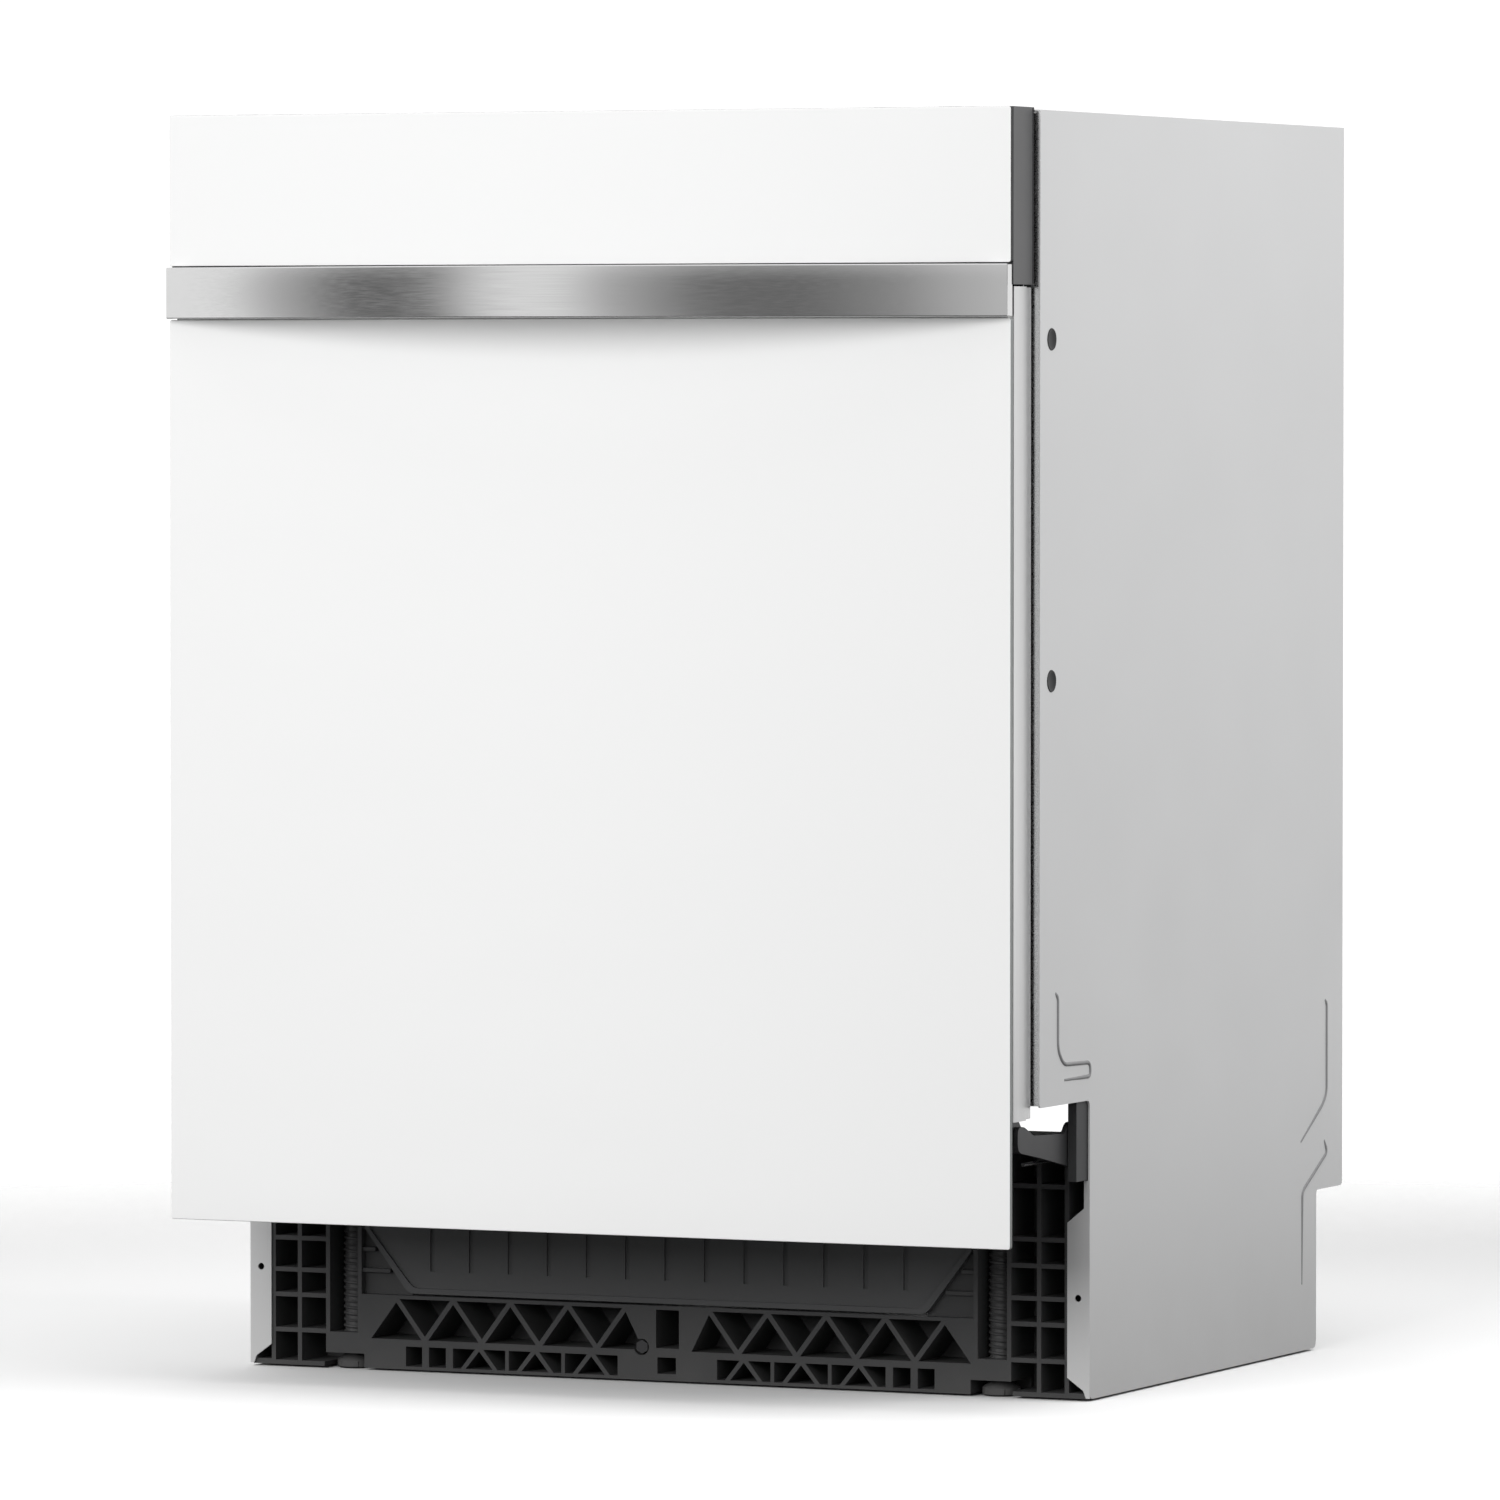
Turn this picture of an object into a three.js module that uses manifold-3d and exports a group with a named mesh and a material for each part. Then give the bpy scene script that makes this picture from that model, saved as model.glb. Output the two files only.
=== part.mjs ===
// A built-in dishwasher, 60 cm class, out of its cupboard, as separate solids.
// Millimetres, +Z up. The front faces -Y. The origin is on the floor, under the middle.
import * as THREE from "three";
import { mergeVertices } from "three/addons/utils/BufferGeometryUtils.js";
import Module from "manifold-3d";

const wasm = await Module();
wasm.setup();

// ---- Driving dimensions ----
const bodyHalf = 303;
const doorHalf = 299;
const bodyTop = 828;
const doorTop = 829.5;
const doorBottom = 107;
const rearY = 301;
const glassFrontY = -267;
const handleFrontY = -301;
const panelFrontY = -228.7;
const kickY = -145.7;
const baseFrontY = -144;
const notchZ = 194.4;
const baseZ = 1.5;
const sheet = 1.2;
const fit = 0.3;

// tub, inside faces
const tubHalf = 286;
const tubFloorZ = 202;
const tubCeilingZ = 814;
const tubFrontY = -227.2;
const tubBackY = 284;
const tubWall = 1;
const tubCornerRadius = 16;

// door
const hingeY = -237;
const hingeZ = 175;
const linerY = -234;
const frameBottomZ = 187;
const frameTopZ = 716;
const housingBottomZ = 717.2;
const housingBackY = -229.5;
const glassThickness = 4;
const handleLowZ = 696.5;
const handleHighZ = 730.7;
const handleEndY = -272;
const handleBand = 2.5;

// wash system
const armCentre = [0, 29];
const lowerArmReach = 228;
const upperArmReach = 198;
const sumpCentre = [30, 45];
const sumpHoleRadius = 90;
const filterCentre = [52, 62];
const filterRadius = 34;
const postRadius = 16;

// racks
const wire = 4;
const rackHalf = 252;
const rackFrontY = -195;
const rackBackY = 235;
const lowerRackZ = [262, 400];
const upperRackZ = [500, 625];
const wheelRadius = 18;
const wheelWidth = 12;
const wheelX = 262;
const wheelY = [-110, 150];
const slideZ = [552, 568];

// legs
const legX = 233.5;
const legY = -127;
const spindleRadius = 8.5;
const footRadius = 12.5;
const shaftX = -16;
const shaftZ = 23.2;
const rearLegX = 12;
const rearLegY = 214;

// ---- Solids ----

// Turns a closed geometry into a solid that can be joined and cut.
function solidFrom(geometry) {
  const bare = geometry.clone();
  bare.deleteAttribute("normal");
  bare.deleteAttribute("uv");
  const merged = mergeVertices(bare, 1e-4);
  const index = merged.index.array;
  const kept = [];
  for (let i = 0; i < index.length; i += 3) {
    const [a, b, c] = [index[i], index[i + 1], index[i + 2]];
    if (a !== b && b !== c && c !== a) kept.push(a, b, c);
  }
  return new wasm.Manifold(new wasm.Mesh({
    numProp: 3,
    vertProperties: new Float32Array(merged.attributes.position.array),
    triVerts: new Uint32Array(kept),
  }));
}

function geometryFrom(solid) {
  const mesh = solid.getMesh();
  const geometry = new THREE.BufferGeometry();
  geometry.setAttribute("position", new THREE.BufferAttribute(mesh.vertProperties, 3));
  geometry.setIndex(new THREE.BufferAttribute(mesh.triVerts, 1));
  geometry.computeVertexNormals();
  return geometry;
}

function joined(solids) {
  return solids.reduce((whole, solid) => whole.add(solid));
}

function cut(solid, tools) {
  return solid.subtract(joined(tools));
}

function block(x0, x1, y0, y1, z0, z1) {
  const geometry = new THREE.BoxGeometry(Math.abs(x1 - x0), y1 - y0, z1 - z0);
  geometry.translate((x0 + x1) / 2, (y0 + y1) / 2, (z0 + z1) / 2);
  return solidFrom(geometry);
}

// A round bar along x, y or z. The two centre values are the other two coordinates in order.
function bar(axis, radius, centre, low, high, sides = 20) {
  const geometry = new THREE.CylinderGeometry(radius, radius, Math.abs(high - low), sides);
  const middle = (low + high) / 2;
  if (axis === "x") {
    geometry.rotateZ(-Math.PI / 2);
    geometry.translate(middle, centre[0], centre[1]);
  } else if (axis === "y") {
    geometry.translate(centre[0], middle, centre[1]);
  } else {
    geometry.rotateX(Math.PI / 2);
    geometry.translate(centre[0], centre[1], middle);
  }
  return solidFrom(geometry);
}

// An outline whose corners may carry a radius: [a, b] or [a, b, radius].
function outline(corners) {
  const shape = new THREE.Shape();
  const count = corners.length;
  corners.forEach(([a, b, radius = 0], i) => {
    const here = new THREE.Vector2(a, b);
    const before = new THREE.Vector2(...corners[(i + count - 1) % count].slice(0, 2));
    const after = new THREE.Vector2(...corners[(i + 1) % count].slice(0, 2));
    const into = before.sub(here).setLength(radius).add(here);
    const out = after.sub(here).setLength(radius).add(here);
    if (i === 0) shape.moveTo(into.x, into.y);
    else shape.lineTo(into.x, into.y);
    if (radius > 0) shape.quadraticCurveTo(here.x, here.y, out.x, out.y);
  });
  shape.closePath();
  return shape;
}

function rectangle(a0, a1, b0, b1, radius = 0) {
  return outline([[a0, b0, radius], [a1, b0, radius], [a1, b1, radius], [a0, b1, radius]]);
}

// Extrusions of an outline: prismX takes (y, z), prismY takes (x, z), prismZ takes (x, y).
function prism(shape, length, curveSegments = 4) {
  return new THREE.ExtrudeGeometry(shape, { depth: length, bevelEnabled: false, curveSegments });
}

function prismX(shape, x0, x1, curveSegments) {
  const geometry = prism(shape, Math.abs(x1 - x0), curveSegments);
  const turn = new THREE.Matrix4().set(0, 0, 1, Math.min(x0, x1), 1, 0, 0, 0, 0, 1, 0, 0, 0, 0, 0, 1);
  return solidFrom(geometry.applyMatrix4(turn));
}

function prismY(shape, y0, y1, curveSegments) {
  const geometry = prism(shape, y1 - y0, curveSegments);
  geometry.rotateX(Math.PI / 2);
  geometry.translate(0, y1, 0);
  return solidFrom(geometry);
}

function prismZ(shape, z0, z1, curveSegments) {
  const geometry = prism(shape, z1 - z0, curveSegments);
  geometry.translate(0, 0, z0);
  return solidFrom(geometry);
}

// A turned solid about a vertical axis. The profile is [radius, height] points.
function turned(profile, centre = [0, 0], segments = 24) {
  let points = profile.map(([radius, height]) => new THREE.Vector2(radius, height));
  if (THREE.ShapeUtils.area(points) < 0) points = points.reverse();
  const onAxis = points[0].x === 0 && points[points.length - 1].x === 0;
  if (!onAxis) points.push(points[0].clone());
  const geometry = new THREE.LatheGeometry(points, segments);
  geometry.rotateX(Math.PI / 2);
  geometry.translate(centre[0], centre[1], 0);
  return solidFrom(geometry);
}

// A tube along a path, closed at its ends.
function tube(path, radius, steps, sides = 8) {
  const ring = [];
  for (let i = 0; i < sides; i += 1) {
    const angle = (2 * Math.PI * i) / sides;
    ring.push(new THREE.Vector2(radius * Math.cos(angle), radius * Math.sin(angle)));
  }
  return solidFrom(new THREE.ExtrudeGeometry(new THREE.Shape(ring), {
    steps, extrudePath: path, bevelEnabled: false,
  }));
}

// Evenly spaced values, both ends included.
function spaced(low, high, count) {
  return Array.from({ length: count }, (_, i) => low + ((high - low) * i) / (count - 1));
}

// ---- Scene helpers ----

function look(colour, roughness, metalness) {
  return new THREE.MeshStandardMaterial({ color: colour, roughness, metalness });
}

function part(group, name, solid, material, position = [0, 0, 0]) {
  const mesh = new THREE.Mesh(geometryFrom(solid), material);
  mesh.name = name;
  mesh.position.set(...position);
  group.add(mesh);
  return mesh;
}

const steel = () => look(0xc4c6c7, 0.32, 1.0);
const galvanised = () => look(0xb4b6b8, 0.5, 0.8);
const wireGrey = () => look(0x9a9ea2, 0.35, 0.1);
const darkPlastic = () => look(0x3c3d3f, 0.6, 0.0);
const greyPlastic = () => look(0x8b8f93, 0.5, 0.0);
const whiteGlass = () => look(0xf4f4f3, 0.06, 0.0);
const rubber = () => look(0x2a2a2b, 0.85, 0.0);

// ---- Cabinet ----

function tub() {
  const outerHalf = tubHalf + tubWall;
  const bottom = tubFloorZ - tubWall;
  const outer = rectangle(-outerHalf, outerHalf, bottom, tubCeilingZ + tubWall, tubCornerRadius + tubWall);
  const inner = rectangle(-tubHalf, tubHalf, tubFloorZ, tubCeilingZ, tubCornerRadius);
  const flange = rectangle(-301.4, 301.4, 195.5, 826);
  const flangeBackY = tubFrontY + 1.5;
  const shell = prismY(outer, tubFrontY, tubBackY + tubWall).add(prismY(flange, tubFrontY, flangeBackY));
  return cut(shell, [
    prismY(inner, tubFrontY - 1, tubBackY),
    bar("z", sumpHoleRadius, sumpCentre, bottom - 1, tubFloorZ + 1, 32),
  ]);
}

// The soft seal against the door liner: two sides and the top of the tub's mouth.
function tubGasket() {
  const frontY = linerY + 0.6;
  const backY = tubFrontY - fit;
  const inner = 287.5;
  const width = 7.5;
  const lowZ = 201;
  const topZ = 823;
  return joined([
    block(-inner - width, -inner, frontY, backY, lowZ, topZ),
    block(inner, inner + width, frontY, backY, lowZ, topZ),
    block(-inner - 1, inner + 1, frontY, backY, topZ - width, topZ),
  ]);
}

const panelHoles = [[-210, 682.7], [-210, 465.5]];
function sidePanel(side) {
  const outer = side * bodyHalf;
  const inner = side * (bodyHalf - sheet);
  const returnX = side * (bodyHalf - 14);
  const rearStepZ = 108.7;
  const rearLowY = 253;
  const sheetOutline = outline([
    [panelFrontY, notchZ, 3], [kickY, notchZ, 4], [kickY, baseZ, 6], [rearLowY, baseZ, 6],
    [rearLowY, rearStepZ, 3], [rearY, rearStepZ, 4], [rearY, bodyTop], [panelFrontY, bodyTop],
  ]);
  const flange = outline([
    [outer, 2], [side * 300.5, 2], [side * 298.5, 7], [side * 287.4, 15], [side * 287.4, 115],
    [side * 299, 124.5], [side * 299, 142.5], [outer, 142.5],
  ]);
  const whole = joined([
    prismX(sheetOutline, inner, outer, 3),
    prismY(flange, kickY, kickY + sheet),
    block(returnX, outer, rearY - sheet, rearY, rearStepZ + 6, bodyTop),
    block(returnX, outer, panelFrontY, rearY, bodyTop - sheet, bodyTop),
  ]);
  return cut(whole, [
    ...panelHoles.map((hole) => bar("x", 7.25, hole, side * (bodyHalf - 2), side * (bodyHalf + 2))),
    bar("y", 2.3, [side * 295, 66.5], kickY - 1, kickY + 3, 12),
  ]);
}

// A channel along x: a web with two lips. The lips point towards -z or +y.
function topFrontBrace() {
  const [frontY, backY] = [-214, -166];
  const [lowZ, highZ] = [817, 826.6];
  const half = 288.4;
  const thick = 1.5;
  return cut(joined([
    block(-half, half, frontY, backY, highZ - thick, highZ),
    block(-half, half, frontY, frontY + thick, lowZ, highZ),
    block(-half, half, backY - thick, backY, lowZ, highZ),
  ]), spaced(-210, 210, 4).map((x) => bar("z", 3.5, [x, -190], highZ - 3, highZ + 1, 12)));
}

function rearBrace() {
  const half = 287;
  const [frontY, backY] = [288, 299.4];
  const [lowZ, highZ] = [560, 620];
  const thick = 1.5;
  return joined([
    block(-half, half, frontY, frontY + thick, lowZ, highZ),
    block(-half, half, frontY, backY, lowZ, lowZ + thick),
    block(-half, half, frontY, backY, highZ - thick, highZ),
  ]);
}

// ---- Base ----

const pocketBackY = baseFrontY + 38;
const baseBackY = -100;
const towerTopZ = 170;
const ribHalf = 1.5;
const towerRibs = [222.5, 246, 267, 286.5, 299.9];
const towerShelves = [3, 24.9, 48.4, 65.1, 86.2, 103.3, 137.7, 168.5];
const beamTopZ = 50.6;
const beamCentreX = 2.7;

// A pocket sunk into the base from the front, with its outline in (x, z).
function pocket(corners) {
  return prismY(outline(corners), baseFrontY - 1, pocketBackY);
}

function tower(side) {
  const lowX = side * (towerRibs[0] - ribHalf);
  const highX = side * (towerRibs[4] + ribHalf);
  const whole = joined([
    block(lowX, highX, baseFrontY, baseBackY, baseZ, towerTopZ),
    block(side * 295.5, highX, -164, -120, 143, 199),
  ]);
  const tools = [];
  for (let column = 1; column < 3; column += 1) {
    const x0 = side * (towerRibs[column] + ribHalf);
    const x1 = side * (towerRibs[column + 1] - ribHalf);
    for (let shelf = 0; shelf < towerShelves.length - 1; shelf += 1) {
      const z0 = towerShelves[shelf] + ribHalf;
      const z1 = towerShelves[shelf + 1] - ribHalf;
      tools.push(block(x0, x1, baseFrontY - 1, pocketBackY, z0, z1));
    }
  }
  const legPocketX = [side * (towerRibs[0] + ribHalf), side * (towerRibs[1] - ribHalf)];
  tools.push(block(...legPocketX, baseFrontY - 1, pocketBackY, 24.7, 165));
  tools.push(block(side * 288, side * 298.4, baseFrontY - 1, pocketBackY, 5, 165));
  tools.push(block(side * 219, side * 248.6, baseFrontY - 1, legY + footRadius + 4, baseZ - 1, 10.8));
  tools.push(bar("z", spindleRadius + 0.5, [side * legX, legY], 0, 26, 24));
  tools.push(bar("y", 3.5, [side * 281, 156], pocketBackY - 1, baseBackY + 1, 12));
  return cut(whole, tools);
}

// Triangular windows between the zigzag bars of the beam's upper row.
function upperTruss() {
  const [lowZ, highZ] = [21.3, 48.2];
  const pitch = 42;
  const inset = 2.4;
  const windows = [];
  [-1, 1].forEach((side) => {
    const at = (offset) => beamCentreX + side * offset;
    for (let i = 0; i < 4; i += 1) {
      const top = 30.1 + pitch * i;
      const bottom = 51 + pitch * i;
      windows.push([[at(top + inset), highZ], [at(top + pitch - inset), highZ], [at(bottom), lowZ + inset]]);
      windows.push([[at(bottom + inset), lowZ], [at(bottom + pitch - inset), lowZ], [at(top + pitch), highZ - inset]]);
    }
    windows.push([[at(17.5), lowZ], [at(51 - inset), lowZ], [at(30.1), highZ - inset]]);
  });
  windows.push([[-5.4, 22.8], [11.2, 22.8], [11.2, 48], [-5.4, 48]]);
  return windows.map(pocket);
}

// The lower row: boxes that each hold a pair of sloping bars, three on each side.
function lowerTruss() {
  const [lowZ, highZ] = [3.6, 16.8];
  const pitch = 41;
  const innerX = 34.6;
  const inset = 1.3;
  const windows = [];
  [-1, 1].forEach((side) => {
    const at = (offset) => beamCentreX + side * offset;
    for (let i = 0; i < 3; i += 1) {
      const start = innerX + pitch * i;
      const middle = start + pitch / 2;
      windows.push([[at(start + inset), lowZ], [at(middle - 13.5), lowZ], [at(middle - 3), highZ], [at(start + inset), highZ]]);
      windows.push([[at(middle - 10), lowZ], [at(middle + 10), lowZ], [at(middle), highZ - inset]]);
      windows.push([[at(middle + 13.5), lowZ], [at(start + pitch - inset), lowZ], [at(start + pitch - inset), highZ], [at(middle + 3), highZ]]);
    }
    windows.push([[at(161.5), lowZ], [at(174), lowZ], [at(174), highZ], [at(161.5), highZ]]);
    windows.push([[at(179), lowZ], [at(191), lowZ], [at(191), highZ], [at(179), highZ]]);
  });
  windows.push([[-4.4, 6], [9, 6], [9, 16.8], [-4.4, 16.8]]);
  return windows.map(pocket);
}

function baseFrontFrame() {
  const reach = towerRibs[0];
  const beam = cut(block(-reach, reach, baseFrontY, baseBackY, baseZ, beamTopZ), [
    ...upperTruss(),
    ...lowerTruss(),
    bar("y", 5.5, [shaftX, shaftZ], baseFrontY - 1, baseBackY + 1, 16),
    block(-228, -219, baseFrontY - 1, legY + footRadius + 4, baseZ - 1, 10.8),
    block(219, 228, baseFrontY - 1, legY + footRadius + 4, baseZ - 1, 10.8),
  ]);
  return joined([beam, tower(-1), tower(1)]);
}

function basePan() {
  const outer = 301.4;
  const wall = 2.5;
  const frontY = baseBackY + 0.5;
  const backY = 252.4;
  const wallTopZ = 95;
  const postX = 272;
  const legBox = [rearLegX - 42, rearLegX + 18, rearLegY - 24, rearLegY + 22];
  const pieces = [
    block(-outer, outer, frontY, backY, 4, 4 + wall),
    block(-outer, outer, backY - wall, backY, 4, 108),
    block(...legBox, 4, 64),
  ];
  [-1, 1].forEach((side) => {
    pieces.push(block(side * (outer - wall), side * outer, frontY, backY, 4, wallTopZ));
    pieces.push(block(side * postX, side * outer, 222, backY, 4, 199));
    pieces.push(block(side * 276, side * 292, 66, 72, 4, 172));
    pieces.push(block(side * 276, side * outer, 60, 78, 4, wallTopZ));
  });
  const slots = spaced(-150, -110, 5).map((x) => block(x, x + 5, backY - wall - 1, backY + 1, 30, 80));
  return cut(joined(pieces), [
    ...slots,
    bar("z", spindleRadius + 0.5, [rearLegX, rearLegY], 0, 66, 24),
    bar("z", footRadius + 1.5, [rearLegX, rearLegY], 0, 11, 24),
    bar("y", 4.2, [shaftX, shaftZ], rearLegY - 26, rearLegY + 8, 16),
    bar("y", 16, [-205, 62], backY - wall - 1, backY + 1, 20),
    bar("y", 13, [-60, 62], backY - wall - 1, backY + 1, 20),
    ...[-1, 1].map((side) => block(side * 274, side * (outer - wall), 221, 250, 6.5, 196)),
  ]);
}

// The slanted cover between the towers, with a raised rim and upright grooves.
function kickScoopCover() {
  const plateFrontY = -141;
  const plateBackY = -138;
  const [lowZ, highZ] = [52, 160];
  const lowHalf = 187;
  const highHalf = 219;
  const shoulderZ = 94;
  const grooveCount = 13;
  const groovePitch = 28.5;
  const shape = (inset) => outline([
    [-lowHalf + inset, lowZ + inset, 5], [lowHalf - inset, lowZ + inset, 5],
    [highHalf - inset, shoulderZ], [highHalf - inset, highZ], [-highHalf + inset, highZ],
    [-highHalf + inset, shoulderZ],
  ]);
  const rim = prismY(shape(0), plateFrontY - 2, plateBackY).subtract(prismY(shape(3.5), plateFrontY - 3, plateFrontY));
  const half = (groovePitch * (grooveCount - 1)) / 2;
  const grooves = spaced(-half, half, grooveCount).map((x) => {
    return block(x - 0.7, x + 2.7, plateFrontY - 1, plateFrontY + 1.4, 67, highZ + 1);
  });
  return cut(rim, grooves);
}

// A levelling leg: a foot pad and a spindle at its thread's outer size, standing on z = 0.
function levellingLeg(height) {
  const neck = 10;
  return turned([
    [0, 0], [footRadius, 0], [footRadius, neck - 4], [spindleRadius, neck],
    [spindleRadius, height], [0, height],
  ], [0, 0], 20);
}

function rearLegShaft() {
  const [frontY, backY] = [-143, rearLegY - 18];
  const head = bar("y", 4.6, [0, 0], frontY, frontY + 14, 6);
  return head.add(bar("y", 3.2, [0, 0], frontY + 13, backY, 12));
}

// ---- Wash system ----

function sumpHousing() {
  const [sx, sy] = sumpCentre;
  const bowl = turned([
    [98, 199.4], [98, 196.4], [83, 196.4], [62, 100], [56, 92], [0, 92],
    [0, 95], [54, 95], [59, 102], [80, 199.4],
  ], sumpCentre, 20);
  const stubs = joined([
    bar("x", 22, [sy, 122], sx - 108, sx - 55),
    bar("y", 14, [sx - 70, 106], sy - 10, sy + 52),
  ]);
  const post = bar("z", postRadius, armCentre, 93, 246);
  const lead = bar("x", 14, [sy, 106], sx - 75, sx - 50);
  return cut(joined([bowl, post, stubs, lead]), [
    bar("z", postRadius - 3, armCentre, 120, 247),
    bar("x", 18, [sy, 122], sx - 109, sx - 70),
  ]);
}

function coarseFilterPlate() {
  const [lowZ, highZ] = [199.8, 202.6];
  return cut(bar("z", sumpHoleRadius - 1.5, sumpCentre, lowZ, highZ, 32), [
    bar("z", filterRadius + 1, filterCentre, lowZ - 1, highZ + 1, 28),
    bar("z", postRadius + 1, armCentre, lowZ - 1, highZ + 1),
  ]);
}

// A cup-shaped fine filter with a grip on top, standing at the origin.
function fineFilter() {
  const wall = 1.6;
  const r = filterRadius;
  const cup = turned([
    [0, 0], [r - 8, 0], [r - 1, 96], [r + 6, 96], [r + 6, 99], [r - 3, 99], [r - 3 - wall, 94],
    [r - 8 - wall, 3], [0, 3],
  ], [0, 0], 28);
  const grip = joined([
    block(-r + 1, r - 1, -3, 3, 96, 100),
    block(-16, 16, -3, 3, 98, 116),
  ]);
  return cup.add(grip);
}

// A mushroom float, standing at the origin.
function overfillFloat() {
  return turned([[0, 0], [7, 0], [7, 9], [19, 11], [17, 16], [0, 18]], [0, 0], 20);
}

function heatingElement() {
  const ringRadius = 166;
  const ringZ = 218;
  const endAngle = 0.09;
  const points = [];
  const at = (angle, z) => new THREE.Vector3(
    armCentre[0] + ringRadius * Math.sin(angle), armCentre[1] + ringRadius * Math.cos(angle), z);
  points.push(at(endAngle, tubFloorZ + 0.8), at(endAngle, ringZ - 6));
  for (let i = 0; i <= 30; i += 1) {
    points.push(at(endAngle + 0.06 + ((2 * Math.PI - 2 * endAngle - 0.12) * i) / 30, ringZ));
  }
  points.push(at(-endAngle, ringZ - 6), at(-endAngle, tubFloorZ + 0.8));
  return tube(new THREE.CatmullRomCurve3(points), 3.8, 44, 6);
}

// The wash pipe: up the back wall, then forward under the ceiling.
function feedTube() {
  const [x, frontY] = armCentre;
  const backY = 270;
  const topZ = 797;
  const bend = 26;
  const path = new THREE.CurvePath();
  path.add(new THREE.LineCurve3(new THREE.Vector3(x, backY, tubFloorZ + 1), new THREE.Vector3(x, backY, topZ - bend)));
  path.add(new THREE.QuadraticBezierCurve3(
    new THREE.Vector3(x, backY, topZ - bend), new THREE.Vector3(x, backY, topZ), new THREE.Vector3(x, backY - bend, topZ)));
  path.add(new THREE.LineCurve3(new THREE.Vector3(x, backY - bend, topZ), new THREE.Vector3(x, frontY, topZ)));
  return joined([
    tube(path, 10, 24, 8),
    bar("z", 11, armCentre, 776, topZ, 16),
    bar("y", 9, [x, 484], 244, backY, 12),
    bar("y", 12, [x, 484], 239.5, 246, 12),
    block(x - 20, x + 20, backY - 4, tubBackY - fit, 640, 660),
  ]);
}

// A two-bladed spray arm about the origin: a hub and tapered blades.
// The bore runs from below the hub up to boreTop.
function sprayArm(reach, boreRadius, boreTop, hubRadius, thickness) {
  const rootHalf = 24;
  const tipHalf = 13;
  const blades = outline([
    [-reach, -tipHalf, 10], [0, -rootHalf], [reach, -tipHalf, 10],
    [reach, tipHalf, 10], [0, rootHalf], [-reach, tipHalf, 10],
  ]);
  const body = joined([
    prismZ(blades, 0, thickness),
    bar("z", hubRadius, [0, 0], -5, thickness + 5, 24),
  ]);
  return cut(body, [bar("z", boreRadius, [0, 0], -6, boreTop, 24)]);
}

// A small disc-shaped spray arm under the ceiling.
function topSprayArm() {
  return cut(turned([[0, 0], [56, 3], [58, 7], [14, 9], [14, 14], [0, 14]], [0, 0], 20), [
    bar("z", 11.4, [0, 0], 6, 20, 24),
  ]);
}

function circulationPump() {
  const centre = [sumpCentre[1], 122];
  const backX = sumpCentre[0] - 108.5;
  return cut(joined([
    bar("x", 22, centre, backX - 12, backX),
    bar("x", 52, centre, backX - 40, backX - 10, 20),
    bar("x", 42, centre, backX - 130, backX - 38, 20),
    block(backX - 118, backX - 52, centre[0] - 30, centre[0] + 30, 7, 100),
  ]), [bar("x", 18, centre, backX - 8, backX + 1)]);
}

function drainPump() {
  const [x, z] = [sumpCentre[0] - 70, 106];
  const startY = sumpCentre[1] + 52.5;
  return cut(joined([
    bar("y", 14, [x, z], startY, startY + 16),
    bar("y", 30, [x, 80], startY + 14, startY + 70, 20),
    bar("y", 22, [x, 80], startY + 68, startY + 88, 16),
    bar("y", 10, [-60, 62], startY + 30, 296, 16),
    block(x - 24, x + 14, startY + 20, startY + 64, 7, 70),
  ]), [bar("y", 7, [-60, 62], 270, 297, 16), bar("y", 10, [x, z], startY - 1, startY + 8, 16)]);
}

function inletValve() {
  const [x, z] = [-205, 62];
  return cut(joined([
    block(x - 22, x + 22, 200, 244, 30, 92),
    bar("y", 13, [x, z], 240, 296, 24),
    bar("z", 11, [x, 215], 90, 112, 16),
    block(x - 12, x + 12, 206, 236, 7, 32),
  ]), [bar("y", 8, [x, z], 262, 297, 16)]);
}

function terminalBox() {
  return cut(block(150, 214, -92, -48, 7, 58), [
    block(153, 211, -89, -47, 10, 55),
  ]).add(block(170, 194, -80, -60, 9, 30));
}

// ---- Hinges and springs ----

// The fixed hinge plate with its pin, one each side of the mouth.
function hingeBracket(side) {
  const [innerX, outerX] = [side * 292, side * 295];
  const nose = 8;
  const plate = outline([
    [hingeY - nose, hingeZ - nose, 6], [hingeY + 30, hingeZ - 14, 8], [-146, 150], [-146, 181],
    [-162, 181, 4], [-168, hingeZ - 1, 4], [hingeY + 18, hingeZ + 1, 4], [hingeY + 2, hingeZ + nose, 4],
    [hingeY - nose, hingeZ + nose, 5],
  ]);
  return joined([
    prismX(plate, innerX, outerX),
    bar("x", 3.6, [hingeY, hingeZ], side * 287.3, side * 293, 16),
    bar("x", 6.2, [hingeY, hingeZ], side * 285, side * 287.6, 16),
  ]);
}

// The door's hinge arm: a long flat arm inside the door, with an eye and a short lever.
function hingeArm(side) {
  const [innerX, outerX] = [side * 288.2, side * 291.4];
  const arm = outline([
    [-253, 196, 2], [hingeY - 9, hingeZ - 1, 3], [hingeY, hingeZ - 10, 5],
    [hingeY + 9, hingeZ - 9, 3], [hingeY + 17.5, hingeZ - 8, 2], [hingeY + 18, hingeZ - 2, 2],
    [hingeY + 9, hingeZ + 4, 3], [-238.6, 190, 2], [-238.6, 330, 3], [-253, 330, 3],
  ]);
  return cut(prismX(arm, innerX, outerX), [
    bar("x", 3.9, [hingeY, hingeZ], side * 280, side * 299, 16),
    bar("x", 1.4, [hingeY + 14.5, hingeZ - 5.4], side * 280, side * 299, 8),
  ]);
}

// The door's balance spring and its link rod, lying in the base.
function doorSpring(side) {
  const centre = [side * 281, 156];
  const coil = bar("y", 8, centre, -88, 34, 16);
  const frontLink = bar("y", 1.8, centre, -205, -87, 8);
  const backLink = bar("y", 1.8, centre, 33, 65.4, 8);
  return joined([coil, frontLink, backLink]);
}

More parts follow.
